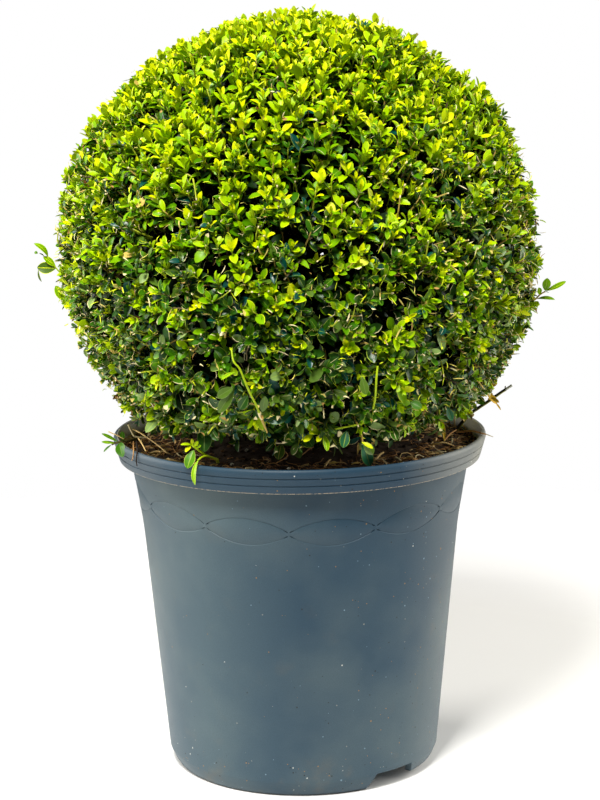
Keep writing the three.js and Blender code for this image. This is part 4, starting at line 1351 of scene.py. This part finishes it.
stub_path = [
    (140.5, 31, 290.5), (148, 30.6, 300), (155.4, 30, 307.6), (161.1, 30, 311.6), (171.5, 30, 318.5),
    (182.2, 30, 326.1), (186.7, 30, 328.9), (191.5, 30, 332.1),
]
stub = single_stems("cut_stub", [
    (3.4, 2.3, 0, stub_path),
    (1.3, 0.8, 1, [(185.6, 30, 328.2), (185.3, 29.5, 330.4), (185.4, 29, 331.6)]),
    (2.6, 1.6, 2, [(153.4, 28.6, 304.2), (155.4, 27.6, 304.8), (157, 27, 306.6)]),
], 12, [stub_finish(), STEM_FINISHES[GREY], STEM_FINISHES[CREAM]])
join_up([stub], "cut_stub_right")

# The stray shoots: two thin shoots of this year that the shears missed stand out of the ball at its
# sides, with large soft leaves. Beside them some larger leaves break the ball's outline.
stray_stems = single_stems("stray_stems", [
    (1.6, 1.1, LIME, [
        (-182, 20, 424), (-199, 10, 434.8), (-203.2, 4, 438.2), (-208.3, 0, 443.6), (-211.9, 0, 448),
        (-216.6, -1, 454.8), (-220.9, -1, 457.9),
    ]),
    (1.5, 0.9, LIME, [(-216.6, -1, 454.8), (-218.4, -1, 457), (-218.8, 0, 458.6)]),
    (1.9, 1.2, RIPE, [
        (182, 20, 398), (199.5, 8, 407.6), (208.6, 2, 413.9), (212.8, 0, 418.5), (217.6, 0, 421.3),
    ]),
    (1.9, 1.5, DARK, [(146, 34, 318), (155.4, 30, 322.6), (165.7, 30, 329.3), (170.4, 29, 333)]),
    (1.1, 0.9, RIPE, [(163.4, 28, 331), (165.3, 25, 328.9), (168.6, 23, 326.1)]),
    (1.3, 1.0, DARK, [(-136, -50, 334), (-142.9, -58, 338.3), (-146.3, -57, 341.6), (-149.8, -56, 343.7)]),
])
stray_leaves = single_leaves("stray_leaves", [
    ((-211.7, 0, 447.4), (-227.8, -3, 448.6), 11, (0.1, -1, 0.15), 0.35, "olive", "lime"),
    ((-211.9, 0, 448.5), (-222.4, -2, 458), 7, (0.5, -0.75, 0.5), 0.35, "fresh", "lime"),
    ((-218.6, 0, 457.3), (-229.8, -4, 470), 6.4, (0.75, -0.6, 0.35), 1.5, "fresh", "lime"),
    ((-221.4, 0, 457.8), (-226.4, 3, 460.6), 2, (0.2, -0.3, 0.9), 0.4, "green", "pale"),
    ((-227.4, 2, 460.4), (-230.4, 3, 461.6), 3, (0.2, -0.9, 0.3), 0.3, "green", "pale"),
    ((-227, -2, 446.7), (-224.9, 2, 435.3), 2.8, (-0.6, -0.8, 0.1), 0.7, "deep", "lime"),
    ((-203.8, 0, 417.4), (-212.3, -2, 432.3), 8.6, (-0.3, -0.9, 0.2), 0.3, "fresh", "lime"),
    ((-196.8, 6, 435.2), (-207.6, 2, 430.5), 6, (0, -0.8, 0.6), 0.6, "mid", "cream"),
    ((-205.8, 0, 439.6), (-207.4, -2, 449.5), 4.6, (0.2, -1, 0), 0.3, "fresh", "lime"),
    ((217.4, 0, 421.7), (218.9, -2, 433.4), 8, (0.1, -1, 0.1), 0.3, "fresh", "pale"),
    ((217.8, 0, 421.7), (235.2, -4, 430.4), 6, (-0.35, -0.7, 0.75), -0.35, "fresh", "lime"),
    ((210, 0, 414.7), (225.6, -3, 414.3), 5, (0.1, -0.6, 0.9), 0.7, "fresh", "pale"),
    ((212.8, 0, 418.5), (211.1, -4, 425.4), 5, (0.3, -1, 0.1), 0.3, "fresh", "lime"),
    ((217, 0, 421), (221, 2, 419.9), 1.7, (0, -0.5, 1), 0.2, "mid", "soft"),
    ((167.7, 23, 326.7), (177, 21, 317), 6.8, (0.5, -0.8, 0.4), 0.5, "gold", "straw"),
    ((175, 21.5, 319.2), (180.6, 20, 311.4), 2.0, (0.5, -0.8, 0.3), 0.3, "gold", "tan"),
    ((171.7, 22, 322.9), (178.9, 18, 318.7), 3.4, (-0.2, -0.8, 0.5), 0.7, "gold", "tan"),
    ((168.6, 23, 326), (173.6, 21, 325.9), 2.6, (0, -0.8, 0.6), 0.5, "gold", "tan"),
    ((170.8, 22, 322.6), (169.2, 21, 320.4), 2, (0, -1, 0.2), 0.4, "gold", "tan"),
    ((169.5, 28, 332.3), (175.4, 28, 335.2), 3.4, (0, -0.8, 0.6), 0.5, "gold", "tan"),
    ((169, 28, 331), (178, 26, 334.9), 4, (0.2, -0.9, 0.3), 0.7, "gold", "tan"),
    ((169.5, 28, 331.3), (173.2, 26, 327), 3.2, (0, -1, 0.2), 0.5, "lime", "straw"),
    ((170.3, 28, 333.1), (174.4, 26, 340), 4.4, (0, -1, 0.2), 0.4, "fresh", "lime"),
    ((157.6, 30, 321.5), (166.5, 26, 316.4), 7.8, (0.2, -1, 0.3), 0.4, "mid", "soft"),
    ((152.1, 30, 316.1), (159.9, 28, 311.8), 5.6, (0.1, -0.9, 0.5), 0.3, "olive", "soft"),
    ((-149.3, -56, 343.7), (-160.4, -60, 341.3), 5.8, (-0.1, -0.6, 0.8), 0.9, "brown", "straw"),
    ((-155.4, -58, 353.3), (-149.4, -66, 347.6), 6.6, (-0.3, -1, 0.3), 0.3, "olive", "soft"),
])
join_up([stray_stems], "foliage_ball")
join_up(stray_leaves, "foliage_ball")

# The lower edge of the ball: here the shears don't reach, so the leaves are large, old and olive.
# They hang on long bare stems, and some young tips among them are bright yellow-green.
edge_stems = single_stems("lower_edge_stems", [
    (1.4, 2.0, LIME, [
        (-53.6, -190, 406.7), (-51.9, -196, 397.2), (-46.9, -196, 390.4), (-41.2, -192, 374.7),
        (-34.9, -185, 359.4), (-32.1, -180, 351.2),
    ]),
    (2.9, 2.0, CREAM, [(-32.4, -180.4, 352), (-31.6, -179, 348.6), (-30.3, -176.6, 345.4)]),
    (2.4, 1.2, RIPE, [(-30.4, -176.8, 345.6), (-28.4, -172.6, 339.4), (-26.3, -168, 332.8)]),
    (1.8, 1.4, LIME, [(63.2, -186, 390), (62.1, -188, 378.8), (61.5, -182, 364), (60, -170, 352)]),
    (2.0, 1.0, LIME, [
        (66, -142, 340), (59.6, -150, 338), (47.9, -154, 335.7), (34.8, -156, 333.6), (22, -156, 331.1),
        (14.3, -157, 328.7),
    ]),
    (1.6, 1.2, RIPE, [(44, -148, 339), (50, -150, 330), (52, -150, 320)]),
    (1.3, 0.9, RIPE, [(-12, -134, 328), (-13.5, -135, 321), (-15.1, -136, 316)]),
    (1.3, 0.9, CREAM, [(-20, -142, 318.4), (-12, -144, 318.8), (-5.5, -143, 320.4)]),
])
edge_leaves = single_leaves("lower_edge_leaves", [
    ((-79.3, -124, 332.4), (-79.6, -133, 309.6), 13, (0.1, -1, 0.2), 0.35, "deep", "soft"),
    ((-82.8, -128, 341.1), (-103.9, -136, 337.3), 11, (0, -0.85, 0.5), 0.3, "olive", "soft"),
    ((-106.9, -118, 342.6), (-106.9, -128, 356.1), 10.5, (-0.1, -1, 0.2), 0.3, "olive", "soft"),
    ((-130.7, -96, 348.9), (-138.4, -104, 354.6), 7, (-0.3, -1, 0.3), 0.3, "blue", "cream"),
    ((-116, -100, 340.2), (-128, -112, 332.6), 8.6, (-0.2, -0.9, 0.5), 0.3, "lime", "lime"),
    ((-117.4, -104, 334.9), (-128.8, -116, 323.4), 8.4, (-0.2, -1, 0.3), 0.4, "pale", "pale"),
    ((-100, -106, 331), (-108, -118, 321), 10, (-0.1, -1, 0.3), 0.4, "mid", "soft"),
    ((-52, -180, 372.4), (-65.4, -175, 351.2), 9.2, (0, -1, 0.1), 0.25, "olive", "soft"),
    ((-52.6, -182, 373.4), (-66.2, -178, 364.6), 8, (-0.1, -1, 0.15), 0.25, "olive", "soft"),
    ((-50.8, -195, 388.2), (-61.9, -200, 382.8), 4.4, (-0.3, -0.5, 0.8), 0.4, "fresh", "lime"),
    ((-7.5, -168, 348.7), (-25.6, -173, 343), 12.6, (0, -0.9, 0.4), 0.3, "teal", "soft"),
    ((-41, -190, 368), (-48, -186, 356), 8.4, (-0.1, -1, 0.1), 0.3, "deep", "soft"),
    ((-30, -180, 352), (-27.4, -186, 366.4), 7.4, (0.2, -1, 0.1), 0.3, "olive", "soft"),
    ((-15.1, -136, 316.3), (-18.2, -143, 304.6), 9.6, (-0.15, -1, 0.25), 0.35, "olive", "straw"),
    ((-5.5, -136, 318), (0.2, -143, 305.6), 9.2, (0.15, -1, 0.25), 0.35, "olive", "soft"),
    ((-25, -142, 332), (-4.3, -148, 319), 10.6, (0.1, -0.9, 0.5), 0.4, "deep", "soft"),
    ((3, -146, 327), (10.6, -150, 316.6), 9.6, (0.1, -0.8, 0.6), 0.4, "deep", "soft"),
    ((15.9, -156, 328.9), (5.4, -164, 336.8), 7.6, (-0.2, -0.8, 0.6), 0.3, "lime", "lime"),
    ((15.4, -157, 328.6), (7.6, -166, 331.2), 4.4, (0, -0.6, 0.8), 0.3, "new", "lime"),
    ((10.6, -156, 328.1), (3.2, -164, 323.8), 5.4, (-0.2, -0.9, 0.4), 0.3, "new", "lime"),
    ((17.6, -156, 328), (14, -162, 323.2), 4.6, (0.1, -1, 0.3), 0.3, "new", "lime"),
    ((20, -156, 327.6), (22.3, -160, 315), 6, (0.5, -0.8, 0.2), 0.4, "fresh", "lime"),
    ((25.8, -152, 330), (19.5, -156, 319), 8.2, (0.2, -1, 0.2), 0.25, "olive", "soft"),
    ((32, -158, 340), (25, -164, 347), 10, (0.1, -1, 0.2), 0.3, "olive", "soft"),
    ((38.8, -152, 330.3), (35.6, -157, 317), 8.6, (-0.1, -1, 0.2), 0.3, "teal", "pale"),
    ((51.6, -150, 321), (58, -140, 297.6), 10.4, (0.1, -1, 0.15), 0.4, "teal", "soft"),
    ((52, -150, 320), (60.4, -150, 309.4), 9, (0.3, -0.9, 0.4), 0.4, "olive", "soft"),
    ((50.7, -154, 321), (60, -158, 316.2), 4, (0, -0.7, 0.7), 0.5, "new", "lime"),
    ((76.4, -140, 330.6), (80, -145, 320), 8.2, (0.2, -1, 0.2), 0.3, "mid", "cream"),
    ((90.3, -160, 355.1), (99.9, -164, 350.7), 7.4, (0.2, -1, 0.4), 0.3, "mid", "soft"),
    ((124, -112, 341), (127.4, -117, 330), 7, (0.3, -0.9, 0.2), 0.3, "teal", "soft"),
    ((50.6, -190, 381.9), (53.6, -193, 368), 7.6, (0, -1, 0.15), 0.25, "olive", "soft"),
])
join_up([edge_stems], "foliage_ball")
join_up(edge_leaves, "foliage_ball")

# Straws, dead twigs and roots: dry stalks that stand in the mix or lie over the rim, most of them at
# the left, two thin roots that hang down the outside of the band, and a few dead leaf strips.
dry_stems = single_stems("straws_and_roots", [
    (2.0, 1.4, PALE, [
        (-149.8, -30, 312.9), (-145.2, -33, 304), (-142.6, -34, 302.6), (-134.2, -35.8, 302.2),
        (-130.6, -32, 305.4), (-128.5, -30, 309.6),
    ]),
    (2.0, 1.6, STRAW, [(-131, -8, 299.4), (-120, 6, 299.2), (-110, 16, 299), (-101.6, 24.6, 299)]),
    (1.4, 0.9, STRAW, [(-145.5, -30, 308.4), (-139, -38, 306.8), (-126.2, -55, 302), (-113.4, -80, 297.6)]),
    (1.5, 0.9, STRAW, [(-139.8, -48, 304), (-135.3, -70, 303.7), (-131.3, -87, 301.2)]),
    (1.8, 1.2, BROWN, [(-101, -20, 305.7), (-103.5, -38.7, 300), (-106.5, -48.7, 295)]),
    (1.0, 0.7, PALE, [(-158.6, 2, 293.8), (-154, 5, 294), (-150.5, 8, 293)]),
    (1.0, 0.7, STRAW, [(-165.9, -50, 311), (-158, -49, 307), (-152.8, -48, 303.6)]),
    (1.0, 0.7, BROWN, [
        (-144.5, -46, 301), (-142.9, -70, 301.8), (-142.2, -80, 301.3), (-141.9, -85.2, 299.2),
        (-142.6, -84.4, 295), (-143.6, -82.2, 292.1),
    ]),
    (1.7, 0.9, BLACK, [
        (-141.8, -46, 301), (-139.6, -74, 301.8), (-138.6, -84, 301.6), (-138.7, -91, 298.6),
        (-139.3, -90.2, 293.6), (-138.8, -90, 288.8),
    ]),
    (1.9, 1.2, BROWN, [(139, -10, 298), (151.2, -25, 302), (157.5, -33, 302), (163, -34, 300.9)]),
    (1.0, 0.6, PALE, [(162.6, -34, 301), (166, -34.4, 299.8), (169.2, -34, 298.4)]),
    (1.1, 0.8, PALE, [(146, 34, 318), (145.6, 27, 314), (150.6, 27, 314)]),
    (1.6, 1.0, PALE, [(142, 56, 290), (141.4, 52, 296), (141.5, 49, 302.7)]),
    (1.3, 1.0, BROWN, [(127.7, -14, 291.2), (134, 4, 293.4), (140.4, 16, 294.6)]),
    (2.2, 1.6, STRAW, [(64.2, -93.2, 292), (68, -84, 294.6), (71.5, -78, 295.4)]),
    (1.7, 1.2, STRAW, [(21, -112.5, 291.5), (24, -102, 293.6), (26, -98, 294)]),
    (1.0, 0.7, BROWN, [(0.1, -83.6, 294), (10.6, -62, 297), (19.4, -56, 297), (26.9, -68.6, 294.6)]),
    (0.9, 0.6, BROWN, [(-20.3, -99.8, 292), (-10.5, -84, 294.6), (-13.8, -66, 296)]),
], 7)
dry_leaves = single_leaves("dead_strips", [
    ((127.4, -21.5, 292), (125.6, -10, 310), 4, (0.3, -1, 0.2), 0.35, "gold", "straw"),
    ((145.8, 26.6, 314), (147.3, 13, 302.6), 4.6, (0.3, -1, 0.3), 0.4, "straw", "cream"),
    ((150.4, 27, 314), (154.8, 20, 302.8), 3.6, (-0.3, -1, 0.3), 0.5, "straw", "tan"),
    ((149, 56.5, 294.5), (147.5, 58.5, 304), 3.6, (-0.6, -0.8, 0.2), 0.3, "straw", "cream"),
    ((156, 34, 300.8), (152, 48, 307.4), 3, (-0.6, -0.8, 0.2), 0.4, "straw", "tan"),
    ((49, -80, 294), (50.6, -72, 303), 2.8, (0.3, -0.9, 0.2), 0.5, "straw", "tan"),
    ((61, -60, 297), (65.6, -52, 301), 3.4, (0.2, -0.8, 0.5), 0.5, "straw", "cream"),
    ((24.4, -107.1, 292.4), (31, -105.3, 293.4), 3, (0.2, -0.6, 0.8), 0.5, "straw", "cream"),
    ((43, -110.5, 292.4), (50.5, -108, 293.4), 2.6, (-0.1, -0.5, 0.8), 0.5, "straw", "tan"),
])
join_up([dry_stems] + dry_leaves, None)

# The studio: a plain pale floor that fades into a white backdrop, one soft light above and in front,
# and a tall soft light on each side, which give the pot its brighter flanks.
FLOOR_REACH = 1.6
FLOOR_SIDES = 96
FLOOR_FADE = (0.5, 1.1)
FLOOR_COLOUR = (0.92, 0.92, 0.92, 1)
BACKDROP = 1.0
SKY_LIGHT = 0.11
LIGHTS = (
    ("key_light", (-0.4, -1.4, 2.2), (0, 0, 0.4), (0.6, 0.6), 85, (1.0, 0.98, 0.93)),
    ("left_light", (-1.85, 0.3, 0.85), (0, 0, 0.3), (1.5, 1.7), 53, (1.0, 0.97, 0.9)),
    ("right_light", (1.85, 0.3, 0.85), (0, 0, 0.3), (1.5, 1.7), 50, (1.0, 0.97, 0.9)),
)

corners = [(FLOOR_REACH * math.cos(a), FLOOR_REACH * math.sin(a), 0) for a in around(FLOOR_SIDES)]
floor_mesh = bpy.data.meshes.new("floor")
floor_mesh.from_pydata(corners, [], [tuple(range(FLOOR_SIDES))])
floor = put("floor", floor_mesh)
finish, tree, shader, place = new_finish("pale_floor")
fill(tree, shader, {"Base Color": FLOOR_COLOUR, "Roughness": 0.9})
away = place_node(tree, "VectorMath", {0: place}, operation="LENGTH").outputs["Value"]
clear = place_node(tree, "BsdfTransparent").outputs[0]
sockets = {0: ramp_of(tree, away, *FLOOR_FADE), 1: shader.outputs[0], 2: clear}
faded = place_node(tree, "MixShader", sockets)
fill(tree, tree.nodes["Material Output"], {"Surface": faded.outputs[0]})
floor.data.materials.append(finish)

for name, stand, aim, size, power, colour in LIGHTS:
    lamp = bpy.data.lights.new(name, "AREA")
    lamp.shape = "RECTANGLE"
    lamp.size, lamp.size_y = size
    lamp.energy, lamp.color = power, colour
    light = put(name, lamp)
    light.location = stand
    light.rotation_mode = "QUATERNION"
    light.rotation_quaternion = (Vector(aim) - Vector(stand)).to_track_quat("-Z", "Y")

world = bpy.data.worlds.new("sky")
world.use_nodes = True
sky = world.node_tree
seen = place_node(sky, "LightPath").outputs["Is Camera Ray"]
level = place_node(sky, "MapRange", {"Value": seen, "To Min": SKY_LIGHT, "To Max": BACKDROP})
fill(sky, sky.nodes["Background"], {"Color": (1, 1, 1, 1), "Strength": level.outputs["Result"]})
bpy.context.scene.world = world
